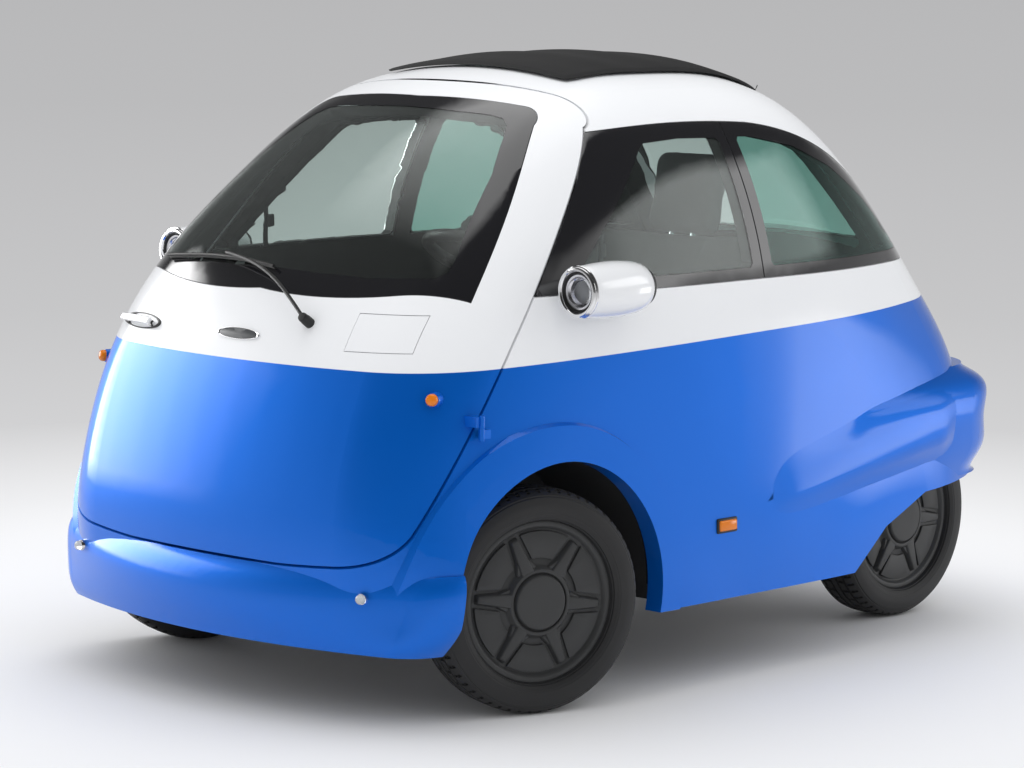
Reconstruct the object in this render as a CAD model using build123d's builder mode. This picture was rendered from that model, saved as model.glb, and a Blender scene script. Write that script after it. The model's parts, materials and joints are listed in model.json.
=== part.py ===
"""A two-seat microcar with one front door, a cloth roof and a narrow rear track.

Millimetres, +Z up, the car faces -Y and its left side is +X.  The origin is on the ground at the
middle of the car's length and width.  The front wheels are turned a little to the car's right.
"""
from math import acos, asin, atan2, cos, degrees, radians, sin
import os

from build123d import *

os.makedirs("parts", exist_ok=True)

# ---------------------------------------------------------------- driving dimensions
HALF_LENGTH = 1217.5
WALL = 36
SCREEN_LEDGE = 46
WINDOW_LEDGE = 26
GLASS = 5
GAP = 6
CANVAS = 12
FAR = 1400

FRONT_AXLE_Y = -688
REAR_AXLE_Y = 850
TYRE_RADIUS = 262
TYRE_WIDTH = 142
RIM_RADIUS = 172
SPINDLE_REACH = 58
TREAD_HALF = 59
SIDEWALL_HALF = 68
SIDEWALL = (
    # radius, distance from the tyre's middle
    (RIM_RADIUS, SIDEWALL_HALF), (254, SIDEWALL_HALF), (TYRE_RADIUS, TREAD_HALF),
)
FRONT_WHEEL_X = 593
REAR_WHEEL_X = 422
KINGPIN_X = 545
STEER_ANGLE = -18
SPINDLE_RADIUS = 12
RUNNING_GAP = 0.05

SILL_HEIGHT = 199
ARCH_RADIUS = 314
ARCH_CENTRE = (-672, 270)
ROOF_HALF_WIDTH = 400
DOOR_AXIS = (643, -913)
TAILGATE_AXIS = (577, 1333)
FLARE = 12
BUMPER_TOP = 430
BUMPER_WALL = 25
TAIL_TOP = 668

# The body is a skin through upright half rings that fan out about the car's cross axis, which is
# the ground line below its middle.  Each ring is a chain of four tangent arcs, mirrored.
SECTIONS = (
    # angle, reach, half width, crown, corner, shoulder, corner end, shoulder end, side
    (8, 1162, 695, 2575, 290, 1000, 77, 85, 9000),
    (25, 1293, 695, 2362, 277, 1000, 75, 85, 9000),
    (38, 1358, 695, 2196, 270, 1000, 72, 85, 9000),
    (50, 1393, 695, 2040, 271, 1000, 68, 85, 9000),
    (62, 1424, 694, 1902, 275, 1000, 63, 85, 9000),
    (75, 1475, 693, 1791, 279, 1000, 59, 85, 9000),
    (90, 1467, 694, 1621, 283, 1000, 57, 85, 9000),
    (105, 1479, 694, 1468, 292, 1000, 59, 85, 9000),
    (120, 1408, 695, 1362, 308, 1000, 63, 85, 9000),
    (135, 1339, 696, 1382, 322, 1000, 68, 85, 9000),
    (150, 1296, 697, 1526, 331, 1000, 72, 85, 9000),
    (172, 1204, 700, 1823, 344, 1000, 76, 85, 9000),
)
SECTION_ROOT = 150

# The door's edge seen from the side, as (y, z): arc ends and the points between them.
DOOR_FOOT = (-1172, 358)
DOOR_EDGE = (
    # arc middle, arc end
    ((-1120, 388), (-1066, 444)),
    ((-937, 645), (-776, 862)),
    ((-594, 1080), (-391, 1327)),
    ((-358, 1375), (-404, 1420)),
)
# The side glazing seen from the side, as (y, z).
GLAZING_FOOT_Z = 955
GLAZING_TOP = (
    # arc middle, arc end
    ((-130, 1331), (150, 1324)),
    ((500, 1224), (830, 962)),
)
PILLAR_Y = 61
PILLAR_HALF = 30
WINDSHIELD_PLANE = Plane(origin=(0, -735, 1168), x_dir=(1, 0, 0), z_dir=(0, -0.644, 0.765))
TAILGATE_PLANE = Plane(origin=(0, 905, 985), x_dir=(-1, 0, 0), z_dir=(0, 0.79, 0.613))
POD_CENTRE = (690, -560, 972)
ACROSS = Plane.YZ.offset(-FAR)


# ---------------------------------------------------------------- shared forms
def body_section(row, inset):
    """One ring of the body, moved in from the outer skin by inset."""
    angle, reach, half_width, crown, corner, shoulder, corner_end, shoulder_end, side = row
    turn = radians(angle)
    half_width = half_width - inset
    crown, corner, shoulder, side = (size - inset for size in (crown, corner, shoulder, side))
    corner_turn = radians(corner_end)
    shoulder_turn = radians(shoulder_end)
    taken = side * (1 - sin(shoulder_turn))
    taken += shoulder * (sin(shoulder_turn) - sin(corner_turn)) + corner * sin(corner_turn)
    crown_turn = asin((half_width - taken) / (crown - corner))
    root = SECTION_ROOT - max(inset, 0)
    plane = Plane(origin=(0, 0, 0), x_dir=(1, 0, 0), z_dir=(0, -sin(turn), -cos(turn)))
    with BuildSketch(plane) as sketch:
        with BuildLine():
            top = CenterArc((0, reach - inset - crown), crown, 90, -degrees(crown_turn))
            bend = JernArc(top @ 1, top % 1, corner, degrees(crown_turn - corner_turn))
            brow = JernArc(bend @ 1, bend % 1, shoulder, corner_end - shoulder_end)
            side_centre = (brow @ 1).Y - side * cos(shoulder_turn)
            side_turn = degrees(acos((root - side_centre) / side))
            flank = JernArc(brow @ 1, brow % 1, side, shoulder_end - side_turn)
            Line(flank @ 1, (0, root))
            mirror(about=Plane.YZ)
        make_face()
    return sketch.sketch


def body_form(inset):
    """The whole body as a solid, moved in from the outer skin by inset."""
    with BuildPart() as form:
        loft(sections=[body_section(row, inset) for row in SECTIONS])
        split(bisect_by=Plane.XY.offset(SILL_HEIGHT - 20), keep=Keep.TOP)
    return form.part


def arc_chain(start, arcs):
    """Arcs from a start point, each given by a point between its ends and its end."""
    for middle, end in arcs:
        ThreePointArc(start, middle, end)
        start = end


def door_zone(grow):
    """Everything ahead of the door's edge, grown outwards by grow."""
    with BuildSketch(ACROSS) as outline:
        with BuildLine():
            arc_chain(DOOR_FOOT, DOOR_EDGE)
            last = DOOR_EDGE[-1][1]
            Polyline(last, (last[0] - 130, FAR + 200), (-FAR, FAR + 200), (-FAR, DOOR_FOOT[1]), DOOR_FOOT)
        make_face()
        if grow:
            offset(amount=grow)
    with BuildPart() as zone:
        extrude(outline.sketch, amount=2 * FAR, dir=(1, 0, 0))
    return zone.part


def glazing_zone(grow, low_y, high_y):
    """The part of the side glazing between two stations, on both sides of the car."""
    with BuildSketch(ACROSS) as outline:
        with BuildLine():
            start = (-400, 1316)
            arc_chain(start, GLAZING_TOP)
            last = GLAZING_TOP[-1][1]
            Polyline(last, (last[0] - 10, GLAZING_FOOT_Z), (-710, GLAZING_FOOT_Z), start)
        make_face()
        if grow:
            offset(amount=grow)
        with Locations(((low_y + high_y) / 2, 1100)):
            Rectangle(high_y - low_y, 900, mode=Mode.INTERSECT)
    with BuildPart() as zone:
        extrude(outline.sketch, amount=2 * FAR, dir=(1, 0, 0))
    return zone.part


def windshield_zone(grow):
    """A block through the windshield's outline."""
    with BuildSketch(WINDSHIELD_PLANE) as outline:
        with BuildLine():
            side = ThreePointArc((541, -226), (484, 42), (387, 299))
            corner = ThreePointArc(side @ 1, (366, 340), (317, 359))
            Line(corner @ 1, (0, 342))
            ThreePointArc((0, -337), (290, -322), side @ 0)
            mirror(about=Plane.YZ)
        make_face()
        if grow:
            offset(amount=grow)
    with BuildPart() as zone:
        extrude(outline.sketch, amount=320, both=True)
    return zone.part


def tailgate_zone(low, high, half_low, half_high, radius):
    """A block through a rounded trapezoid on the tail, by its lower and upper edges."""
    with BuildSketch(TAILGATE_PLANE) as outline:
        with BuildLine():
            FilletPolyline(
                (half_low, low), (half_high, high), (-half_high, high), (-half_low, low),
                radius=radius, close=True,
            )
        make_face()
    with BuildPart() as zone:
        extrude(outline.sketch, amount=420, both=True)
    return zone.part


def mirrored_pair(part):
    """The same solid on both sides of the car."""
    with BuildPart() as pair:
        add(part)
        mirror(about=Plane.YZ)
    return pair.part


outer = body_form(0)
skin = body_form(GLASS)
inner = body_form(WALL)

with BuildPart() as shell_builder:
    add(outer)
    add(inner, mode=Mode.SUBTRACT)
    split(bisect_by=Plane.XY.offset(SILL_HEIGHT), keep=Keep.TOP)
shell = shell_builder.part

with BuildPart() as glass_builder:
    add(outer)
    add(skin, mode=Mode.SUBTRACT)
    split(bisect_by=Plane.XY.offset(600), keep=Keep.TOP)
glass_layer = glass_builder.part

# ---------------------------------------------------------------- front door and what it carries
with BuildPart() as windshield:
    add(glass_layer)
    add(windshield_zone(-2), mode=Mode.INTERSECT)

with BuildPart() as door_skin:
    add(shell)
    add(door_zone(0), mode=Mode.INTERSECT)
    add(windshield_zone(-SCREEN_LEDGE), mode=Mode.SUBTRACT)
with BuildPart() as shield_recess:
    add(glass_layer)
    add(windshield_zone(0), mode=Mode.INTERSECT)
with BuildPart() as dashboard:
    add(inner)
    with Locations((0, -960, 845)):
        Box(1000, 380, 110, mode=Mode.INTERSECT)

with BuildPart() as wiper:
    with BuildLine() as arm_line:
        Polyline((216, -1045, 895), (60, -1036, 985), (-150, -978, 1035))
    with BuildSketch(Plane(origin=arm_line.line @ 0, z_dir=arm_line.line % 0)):
        Circle(6)
    sweep(transition=Transition.RIGHT)
    with BuildSketch(Plane(origin=(216, -1000, 880), z_dir=(0, -0.94, 0.34))):
        Circle(14)
    extrude(amount=54)
    add(outer, mode=Mode.SUBTRACT)

with BuildPart() as door_handle:
    with Locations(Location((-386, -1048, 850), (0, 0, -20))):
        Box(124, 14, 16)
    for across, depth in ((-434, -1022), (-338, -1046)):
        with Locations(Location((across, depth, 850), (0, 0, -20))):
            Box(14, 60, 12)
    add(outer, mode=Mode.SUBTRACT)

with BuildPart() as lamp:
    with BuildSketch(Plane(origin=(548, -968, 742), z_dir=(0.52, -0.85, 0.1))):
        Circle(15)
    extrude(amount=44)
    add(outer, mode=Mode.SUBTRACT)
door_indicators = mirrored_pair(lamp.part)


def flap_zone(grow):
    """A block through the flush flap at the door's left shoulder."""
    with BuildSketch(Plane.XZ.offset(1300)) as outline:
        with BuildLine():
            Polyline((330, 836), (496, 840), (492, 923), (328, 920), (330, 836))
        make_face()
        if grow:
            offset(amount=grow)
    with BuildPart() as zone:
        extrude(outline.sketch, amount=600, dir=(0, 1, 0))
    return zone.part


with BuildPart() as charge_flap:
    add(glass_layer)
    add(flap_zone(-1.5), mode=Mode.INTERSECT)
with BuildPart() as flap_recess:
    add(glass_layer)
    add(flap_zone(0), mode=Mode.INTERSECT)

# A lift-off hinge at the seam: the pin stands on the body and the sleeve hangs on the door.
HINGE_HEIGHT = 680
with BuildPart() as door_hinge_pin:
    with Locations((*DOOR_AXIS, HINGE_HEIGHT - 14)):
        Cylinder(6, 28)
    with Locations((DOOR_AXIS[0] - 5, DOOR_AXIS[1] + 14, HINGE_HEIGHT - 14)):
        Box(14, 26, 20)
    add(outer, mode=Mode.SUBTRACT)
    with Locations((*DOOR_AXIS, HINGE_HEIGHT + 4)):
        Cylinder(3, 52)
with BuildPart() as front_door:
    add(door_skin.part)
    add(shield_recess.part, mode=Mode.SUBTRACT)
    add(flap_recess.part, mode=Mode.SUBTRACT)
    with Locations((*DOOR_AXIS, HINGE_HEIGHT + 15)):
        Cylinder(6, 29)
    with Locations((DOOR_AXIS[0] - 22, DOOR_AXIS[1] - 10, HINGE_HEIGHT + 15)):
        Box(42, 14, 24)
    with Locations((*DOOR_AXIS, HINGE_HEIGHT + 15)):
        Cylinder(3 + RUNNING_GAP, 40, mode=Mode.SUBTRACT)

# ---------------------------------------------------------------- tailgate
with BuildPart() as tailgate_skin:
    add(shell)
    add(tailgate_zone(-333, 470, 450, 340, 60), mode=Mode.INTERSECT)
    add(tailgate_zone(20, 400, 350, 280, 50), mode=Mode.SUBTRACT)
with BuildPart() as rear_recess:
    add(glass_layer)
    add(tailgate_zone(-22, 440, 400, 320, 60), mode=Mode.INTERSECT)
with BuildPart() as tailgate:
    add(tailgate_skin.part)
    add(rear_recess.part, mode=Mode.SUBTRACT)
    for across in (-110, 110):
        with Locations(Location((across, *TAILGATE_AXIS), (0, 90, 0))):
            Cylinder(7, 38)
        with Locations((across, TAILGATE_AXIS[0] + 7, TAILGATE_AXIS[1] - 10)):
            Box(38, 8, 22)
        with Locations(Location((across, *TAILGATE_AXIS), (0, 90, 0))):
            Cylinder(4 + RUNNING_GAP, 60, mode=Mode.SUBTRACT)
with BuildPart() as tailgate_hinge_pins:
    for side in (-1, 1):
        with Locations(Location((side * 70, *TAILGATE_AXIS), (0, 90, 0))):
            Cylinder(7, 40)
        with Locations((side * 70, TAILGATE_AXIS[0] - 9, TAILGATE_AXIS[1] - 6)):
            Box(40, 10, 20)
    add(outer, mode=Mode.SUBTRACT)
    for side in (-1, 1):
        with Locations(Location((side * 95, *TAILGATE_AXIS), (0, 90, 0))):
            Cylinder(4, 70)
with BuildPart() as rear_window:
    add(rear_recess.part)
    add(tailgate_zone(-20, 438, 398, 318, 58), mode=Mode.INTERSECT)

# ---------------------------------------------------------------- body sides, roof, tail panel
with BuildSketch(ACROSS) as side_outline:
    with BuildLine():
        Polyline((-1300, SILL_HEIGHT), (385, SILL_HEIGHT), (520, 300), (700, 368), (1300, 390))
        Polyline((1300, 390), (1300, 1600), (-1300, 1600), (-1300, SILL_HEIGHT))
    make_face()
with BuildPart() as side_cut:
    extrude(side_outline.sketch, amount=2 * FAR, dir=(1, 0, 0))

with BuildPart() as nose_block:
    with Locations((0, -1000, BUMPER_TOP / 2)):
        Box(1600, 440, BUMPER_TOP)
with BuildPart() as tail_block:
    with Locations((0, 1150, TAIL_TOP / 2)):
        Box(1600, 400, TAIL_TOP)
    with Locations((0, 1025, 360)):
        Box(940, 650, 720)
with BuildPart() as arch_cut:
    with Locations(Location((0, ARCH_CENTRE[0], ARCH_CENTRE[1]), (0, 90, 0))):
        Cylinder(ARCH_RADIUS, 1700)
    with Locations((0, ARCH_CENTRE[0], 300)):
        Box(800, 700, 700, mode=Mode.SUBTRACT)
tail_opening = tailgate_zone(-333 - GAP, 470 + GAP, 450 + GAP, 340 + GAP, 66)

# The raised ring round the front wheel opening: the skin moved out, cut by a cone.
with BuildPart() as arch_flare:
    with BuildSketch(Plane(origin=(0, ARCH_CENTRE[0], ARCH_CENTRE[1]), x_dir=(1, 0, 0), z_dir=(0, -1, 0))):
        with BuildLine():
            Polyline((540, 300), (760, 300), (760, 352), (640, 412), (540, 430), (540, 300))
        make_face()
    revolve(axis=Axis((0, ARCH_CENTRE[0], ARCH_CENTRE[1]), (1, 0, 0)))
    add(body_form(-FLARE), mode=Mode.INTERSECT)
    split(bisect_by=Plane.XY.offset(SILL_HEIGHT), keep=Keep.TOP)

# The hips and the tail: level rings that run from the tail's middle round the corner and
# forwards along the side until they sink into it.
TAIL_RINGS = (
    # height, tail, side, furthest reach across the corner
    (386, 1180, 640, 1124),
    (430, 1190, 655, 1130),
    (520, 1207, 672, 1144),
    (580, 1212, 674, 1149),
    (612, 1211, 664, 1149),
    (642, 1192, 640, 1121),
    (668, 1165, 604, 1085),
)
TAIL_CORNER = 230
DIAGONAL = (0.724, 0.690)
CORNER_TURN = 84
SIDE_TURN = 6
SIDE_RADIUS = 2500
FADE_RADIUS = 9000


def tail_form(inset):
    """The hips and the tail as a solid, moved in by inset."""
    corner = TAIL_CORNER - inset
    turn = radians(CORNER_TURN)
    sections = []
    for height, tail, side, reach in TAIL_RINGS:
        corner_x = side - SIDE_RADIUS * (1 - sin(turn)) - TAIL_CORNER * sin(turn)
        corner_y = (reach - DIAGONAL[0] * corner_x) / DIAGONAL[1] - TAIL_CORNER / DIAGONAL[1]
        bend = 2 * atan2(tail - corner_y - TAIL_CORNER, corner_x)
        bend_turn = degrees(bend)
        with BuildSketch(Plane.XY.offset(height)) as ring:
            with BuildLine():
                back = JernArc((0, tail - inset), (1, 0), corner_x / sin(bend) + corner, -bend_turn)
                bent = JernArc(back @ 1, back % 1, corner, bend_turn - CORNER_TURN)
                flank = JernArc(bent @ 1, bent % 1, SIDE_RADIUS, -SIDE_TURN)
                fade = JernArc(flank @ 1, flank % 1, FADE_RADIUS, -SIDE_TURN)
                Line(fade @ 1, (0, (fade @ 1).Y))
                mirror(about=Plane.YZ)
            make_face()
        sections.append(ring.sketch)
    with BuildPart() as form:
        loft(sections=sections)
    return form.part


hips = tail_form(0)

with BuildPart() as side_skin:
    add(shell)
    split(bisect_by=Plane.YZ.offset(0.01), keep=Keep.TOP)
    add(hips)
    split(bisect_by=Plane.YZ.offset(0.01), keep=Keep.TOP)
    add(arch_flare.part)
    add(inner, mode=Mode.SUBTRACT)
    add(door_zone(GAP), mode=Mode.SUBTRACT)
    add(side_cut.part, mode=Mode.INTERSECT)
    add(arch_cut.part, mode=Mode.SUBTRACT)
    add(nose_block.part, mode=Mode.SUBTRACT)
    add(tail_block.part, mode=Mode.SUBTRACT)
    with Locations((0, 100, 1400)):
        Box(2 * ROOF_HALF_WIDTH, 2 * FAR, 320, mode=Mode.SUBTRACT)
    add(tail_opening, mode=Mode.SUBTRACT)
    add(glazing_zone(-WINDOW_LEDGE, -800, PILLAR_Y - PILLAR_HALF), mode=Mode.SUBTRACT)
    add(glazing_zone(-WINDOW_LEDGE, PILLAR_Y + PILLAR_HALF, 1000), mode=Mode.SUBTRACT)
with BuildPart() as glazing_recess:
    add(glass_layer)
    split(bisect_by=Plane.YZ.offset(0.01), keep=Keep.TOP)
    add(glazing_zone(0, -1000, 1000), mode=Mode.INTERSECT)
with BuildPart() as body_side:
    add(side_skin.part)
    add(glazing_recess.part, mode=Mode.SUBTRACT)

side_panes = []
for low_y, high_y in ((-1000, PILLAR_Y - 2), (PILLAR_Y + 2, 1000)):
    with BuildPart() as pane:
        add(glazing_recess.part)
        add(glazing_zone(-2, low_y, high_y), mode=Mode.INTERSECT)
        add(door_zone(GAP), mode=Mode.SUBTRACT)
    side_panes.append(pane.part)

with BuildPart() as roof_frame:
    add(shell)
    with Locations((0, 100, 1400)):
        Box(2 * ROOF_HALF_WIDTH, 2 * FAR, 320, mode=Mode.INTERSECT)
    add(door_zone(GAP), mode=Mode.SUBTRACT)
    add(tail_opening, mode=Mode.SUBTRACT)
    with Locations((0, 74, 1400)):
        Box(570, 680, 320, mode=Mode.SUBTRACT)

with BuildPart() as canvas_roof:
    add(body_form(-CANVAS))
    with BuildSketch(Plane.XY.offset(1300)):
        with Locations((0, 74)):
            RectangleRounded(632, 736, 50)
    extrude(amount=300, mode=Mode.INTERSECT)
    add(outer, mode=Mode.SUBTRACT)

# ---------------------------------------------------------------- bumpers
# Level rings, each a long nose arc and two corner arcs.
FRONT_RINGS = (
    # height, nose, bend x, bend y, corner x, corner y, end x, end y
    (170, 1192, 530, 1104, 586, 1066, 612, 1000),
    (230, 1212, 566, 1098, 630, 1052, 652, 985),
    (300, 1217.5, 586, 1086, 646, 1040, 668, 978),
    (345, 1196, 586, 1072, 640, 1030, 660, 975),
    (356, 1182, 580, 1062, 632, 1024, 652, 972),
)


def nose_form(inset):
    """The front bumper as a solid through its level rings."""
    sections = []
    for height, nose, bend_x, bend_y, corner_x, corner_y, end_x, end_y in FRONT_RINGS:
        with BuildSketch(Plane.XY.offset(height)) as ring:
            with BuildLine():
                bend = (bend_x - inset, inset - bend_y)
                corner = (corner_x - inset, inset - corner_y)
                end = (end_x - inset, -end_y)
                ThreePointArc((-bend[0], bend[1]), (0, inset - nose), bend)
                ThreePointArc(bend, corner, end)
                ThreePointArc((-bend[0], bend[1]), (-corner[0], corner[1]), (-end[0], end[1]))
                Line((-end[0], end[1]), end)
            make_face()
        sections.append(ring.sketch)
    with BuildPart() as form:
        loft(sections=sections)
    return form.part


with BuildPart() as front_bumper:
    add(outer)
    add(arch_flare.part)
    mirror(arch_flare.part, about=Plane.YZ)
    add(nose_block.part, mode=Mode.INTERSECT)
    split(bisect_by=Plane.XY.offset(300), keep=Keep.TOP)
    add(nose_form(0))
    add(nose_form(BUMPER_WALL), mode=Mode.SUBTRACT)
    add(inner, mode=Mode.SUBTRACT)
    add(arch_cut.part, mode=Mode.SUBTRACT)
    add(door_zone(GAP), mode=Mode.SUBTRACT)

TOW_AXIS = (-330, 440)
with BuildPart() as rear_wheel_room:
    with Locations(Location((0, REAR_AXLE_Y, TYRE_RADIUS), (0, 90, 0))):
        Cylinder(TYRE_RADIUS + 14, 2 * (REAR_WHEEL_X + TYRE_WIDTH / 2 + 14))
PLATE_HEIGHT = 500
PLATE_SCREW_SPACING = 240
PLATE_SCREW_RADIUS = 3
PLATE_SCREW_ROOM = 6


def plate_screws(radius):
    """The two round ways along the car for the plate's screws."""
    start = Plane(origin=(0, HALF_LENGTH - 60, PLATE_HEIGHT), x_dir=(1, 0, 0), z_dir=(0, 1, 0))
    with BuildPart() as ways:
        with BuildSketch(start):
            with Locations((-PLATE_SCREW_SPACING / 2, 0), (PLATE_SCREW_SPACING / 2, 0)):
                Circle(radius)
        extrude(amount=80)
    return ways.part


with BuildPart() as tail_hollow:
    add(tail_form(BUMPER_WALL))
    split(bisect_by=Plane.XY.offset(TAIL_TOP - BUMPER_WALL), keep=Keep.BOTTOM)
with BuildPart() as rear_bumper:
    add(outer)
    add(hips)
    add(tail_block.part, mode=Mode.INTERSECT)
    add(side_cut.part, mode=Mode.INTERSECT)
    add(tail_hollow.part, mode=Mode.SUBTRACT)
    add(rear_wheel_room.part, mode=Mode.SUBTRACT)
    add(inner, mode=Mode.SUBTRACT)
    add(tail_opening, mode=Mode.SUBTRACT)
    add(plate_screws(PLATE_SCREW_ROOM), mode=Mode.SUBTRACT)
    # the towing eye's boss, its threaded hole and the way in through the bumper
    for foot, radius, reach, mode in (
        # start along the car, radius, length, how it acts
        (1083, 18, 62, Mode.ADD), (1093, 9, 46, Mode.SUBTRACT), (1138, 14, 90, Mode.SUBTRACT),
    ):
        with BuildSketch(Plane(origin=(TOW_AXIS[0], foot, TOW_AXIS[1]), z_dir=(0, 1, 0))):
            Circle(radius)
        extrude(amount=reach, mode=mode)

with BuildPart() as lamp:
    with BuildSketch(Plane(origin=(493, -1110, 301), z_dir=(0.3, -0.95, 0))):
        Circle(14)
    extrude(amount=54)
    add(nose_form(0), mode=Mode.SUBTRACT)
bumper_lamps = mirrored_pair(lamp.part)

# ---------------------------------------------------------------- floor, liners, heavy blocks
FLOOR_LOW = 202
FLOOR_TOP = 238
with BuildPart() as floor_pan:
    with Locations((0, -700, (FLOOR_LOW + FLOOR_TOP) / 2)):
        Box(708, 860, FLOOR_TOP - FLOOR_LOW)
    with Locations((0, 80, (FLOOR_LOW + FLOOR_TOP) / 2)):
        Box(1400, 700, FLOOR_TOP - FLOOR_LOW)
    with Locations((0, 433, 412)):
        Box(1400, 30, 420)
    with Locations((0, 760, 607)):
        Box(1400, 640, 30)
    add(inner, mode=Mode.INTERSECT)
    for side in (-1, 1):
        with Locations((side * 560, 100, FLOOR_LOW - 4)):
            Cylinder(32, 12)

with BuildPart() as liner:
    with Locations(Location((515, ARCH_CENTRE[0], ARCH_CENTRE[1]), (0, 90, 0))):
        Cylinder(ARCH_RADIUS + 8, 262)
    with Locations(Location((519, ARCH_CENTRE[0], ARCH_CENTRE[1]), (0, 90, 0))):
        Cylinder(ARCH_RADIUS, 262, mode=Mode.SUBTRACT)
    split(bisect_by=Plane.XY.offset(SILL_HEIGHT + 60), keep=Keep.TOP)
    add(body_form(WALL + 1), mode=Mode.INTERSECT)
    with Locations((386, FRONT_AXLE_Y, 385)):
        Box(20, 60, 60, mode=Mode.SUBTRACT)
wheel_liners = mirrored_pair(liner.part)

with BuildPart() as motor_block:
    with Locations((0, 690, 350)):
        Box(420, 200, 260)
with BuildPart() as battery_block:
    with Locations((0, -140, 329)):
        Box(740, 480, 182)

# ---------------------------------------------------------------- seats
with BuildPart() as seat_cushion:
    with Locations((0, -140, 490)):
        Box(1060, 460, 138)
    fillet(seat_cushion.edges(), 35)
with BuildPart() as seat_back:
    with Locations(Location((0, 160, 815), (-12, 0, 0))):
        Box(1040, 110, 480)
    fillet(seat_back.edges(), 35)
    for across in (-250, 250):
        with Locations(Location((across, 232, 1140), (-12, 0, 0))):
            Box(230, 80, 230)

# ---------------------------------------------------------------- steering column and wheel
COLUMN_AXIS = (0, 0.44, 0.898)
HUB = (285, -510, 985)
COLUMN_LENGTH = 617
column_foot = tuple(HUB[i] - (COLUMN_LENGTH + 23) * COLUMN_AXIS[i] for i in range(3))
with BuildPart() as steering_column:
    with BuildSketch(Plane(origin=column_foot, z_dir=COLUMN_AXIS)):
        Circle(18)
    extrude(amount=COLUMN_LENGTH)
    with Locations((HUB[0], column_foot[1] - 5, FLOOR_TOP + 95)):
        Box(120, 60, 190)
hub_plane = Plane(origin=HUB, z_dir=COLUMN_AXIS)
with BuildPart() as steering_wheel:
    with BuildSketch(hub_plane):
        Circle(40)
    extrude(amount=40)
    with BuildSketch(Plane(origin=HUB, x_dir=(1, 0, 0), z_dir=(0, -0.898, 0.44))):
        with Locations((168, 30)):
            Circle(13)
    revolve(axis=Axis(HUB, COLUMN_AXIS))
    with BuildSketch(hub_plane.offset(20)):
        Rectangle(320, 30)
    extrude(amount=16)

# ---------------------------------------------------------------- lamp pods
with BuildPart() as pod:
    with BuildSketch(Plane(origin=POD_CENTRE, x_dir=(0, 1, 0), z_dir=(1, 0, 0))):
        with BuildLine():
            Polyline((-100, 0), (-100, 56), (-90, 58))
            ThreePointArc((-90, 58), (20, 66), (125, 50))
            Polyline((125, 50), (125, 0), (-100, 0))
        make_face()
    revolve(axis=Axis(POD_CENTRE, (0, 1, 0)))
    with Locations((620, -545, 955)):
        Box(70, 60, 50)
    add(outer, mode=Mode.SUBTRACT)
with BuildPart() as lens:
    with BuildSketch(Plane(origin=(POD_CENTRE[0], POD_CENTRE[1] - 100, POD_CENTRE[2]), z_dir=(0, -1, 0))):
        Circle(57)
    extrude(amount=18)
with BuildPart() as mirror_glass:
    with BuildSketch(Plane(origin=(POD_CENTRE[0], POD_CENTRE[1] + 125, POD_CENTRE[2]), z_dir=(0, 1, 0))):
        Circle(48)
    extrude(amount=4)

with BuildPart() as marker:
    with Locations((680, -116, 377)):
        Box(42, 62, 28)
    add(outer, mode=Mode.SUBTRACT)
side_markers = mirrored_pair(marker.part)

# ---------------------------------------------------------------- tail lamp bar and plate
with BuildPart() as tail_lamps:
    add(body_form(-8))
    with Locations((0, 1100, 690)):
        Box(840, 400, 22, mode=Mode.INTERSECT)
    add(outer, mode=Mode.SUBTRACT)
with BuildPart() as number_plate:
    with Locations((0, HALF_LENGTH - 25, PLATE_HEIGHT)):
        Box(320, 50, 160)
    add(hips, mode=Mode.SUBTRACT)
    add(plate_screws(PLATE_SCREW_RADIUS), mode=Mode.SUBTRACT)

# ---------------------------------------------------------------- wheels
def wheel_place(side, front):
    """The wheel's own frame: local Z runs outwards along the axle from the wheel's middle."""
    if not front:
        middle = (side * REAR_WHEEL_X, REAR_AXLE_Y, TYRE_RADIUS)
        return Plane(origin=middle, x_dir=(0, 1, 0), z_dir=(side, 0, 0))
    turn = radians(STEER_ANGLE)
    reach = FRONT_WHEEL_X - KINGPIN_X
    out = (side * cos(turn), side * sin(turn))
    origin = (side * KINGPIN_X + reach * out[0], FRONT_AXLE_Y + reach * out[1], TYRE_RADIUS)
    return Plane(origin=origin, x_dir=(-side * out[1], side * out[0], 0), z_dir=(out[0], out[1], 0))


def revolved(plane, profile_builder):
    """A solid turned about a plane's Z axis from a profile drawn as (radius, height)."""
    upright = Plane(origin=plane.origin, x_dir=plane.x_dir, z_dir=plane.y_dir * -1)
    with BuildPart() as solid:
        with BuildSketch(upright):
            with BuildLine():
                profile_builder()
            make_face()
        revolve(axis=Axis(plane.origin, plane.z_dir))
    return solid.part


def tyre_profile():
    near = [(radius, -across) for radius, across in reversed(SIDEWALL)]
    Polyline(*SIDEWALL, *near, SIDEWALL[0])


def wheel_profile():
    half = TYRE_WIDTH / 2
    bore = SPINDLE_RADIUS + RUNNING_GAP
    Polyline(
        (bore, -10), (bore, half - 12), (0, half - 12), (0, half + 2), (62, half), (66, half - 8),
        (80, half - 8), (84, half - 15), (RIM_RADIUS - 30, half - 15), (RIM_RADIUS - 24, half - 5),
        (RIM_RADIUS - 4, half - 5), (RIM_RADIUS, half - 10), (RIM_RADIUS, -half + 8),
        (RIM_RADIUS - 12, -half + 8), (RIM_RADIUS - 12, half - 30),
        (60, half - 30), (40, -10), (bore, -10),
    )


def spoked_wheel(plane):
    """Rim, dished cover, six raised spokes and a round cap, as one wheel."""
    face = TYRE_WIDTH / 2
    with BuildPart() as wheel:
        add(revolved(plane, wheel_profile))
        with BuildSketch(plane.offset(face - 16)):
            with PolarLocations(0, 6):
                Polygon((60, -20), (RIM_RADIUS - 26, -11), (RIM_RADIUS - 26, 11), (60, 20), align=None)
        extrude(amount=12)
    return wheel.part


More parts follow.
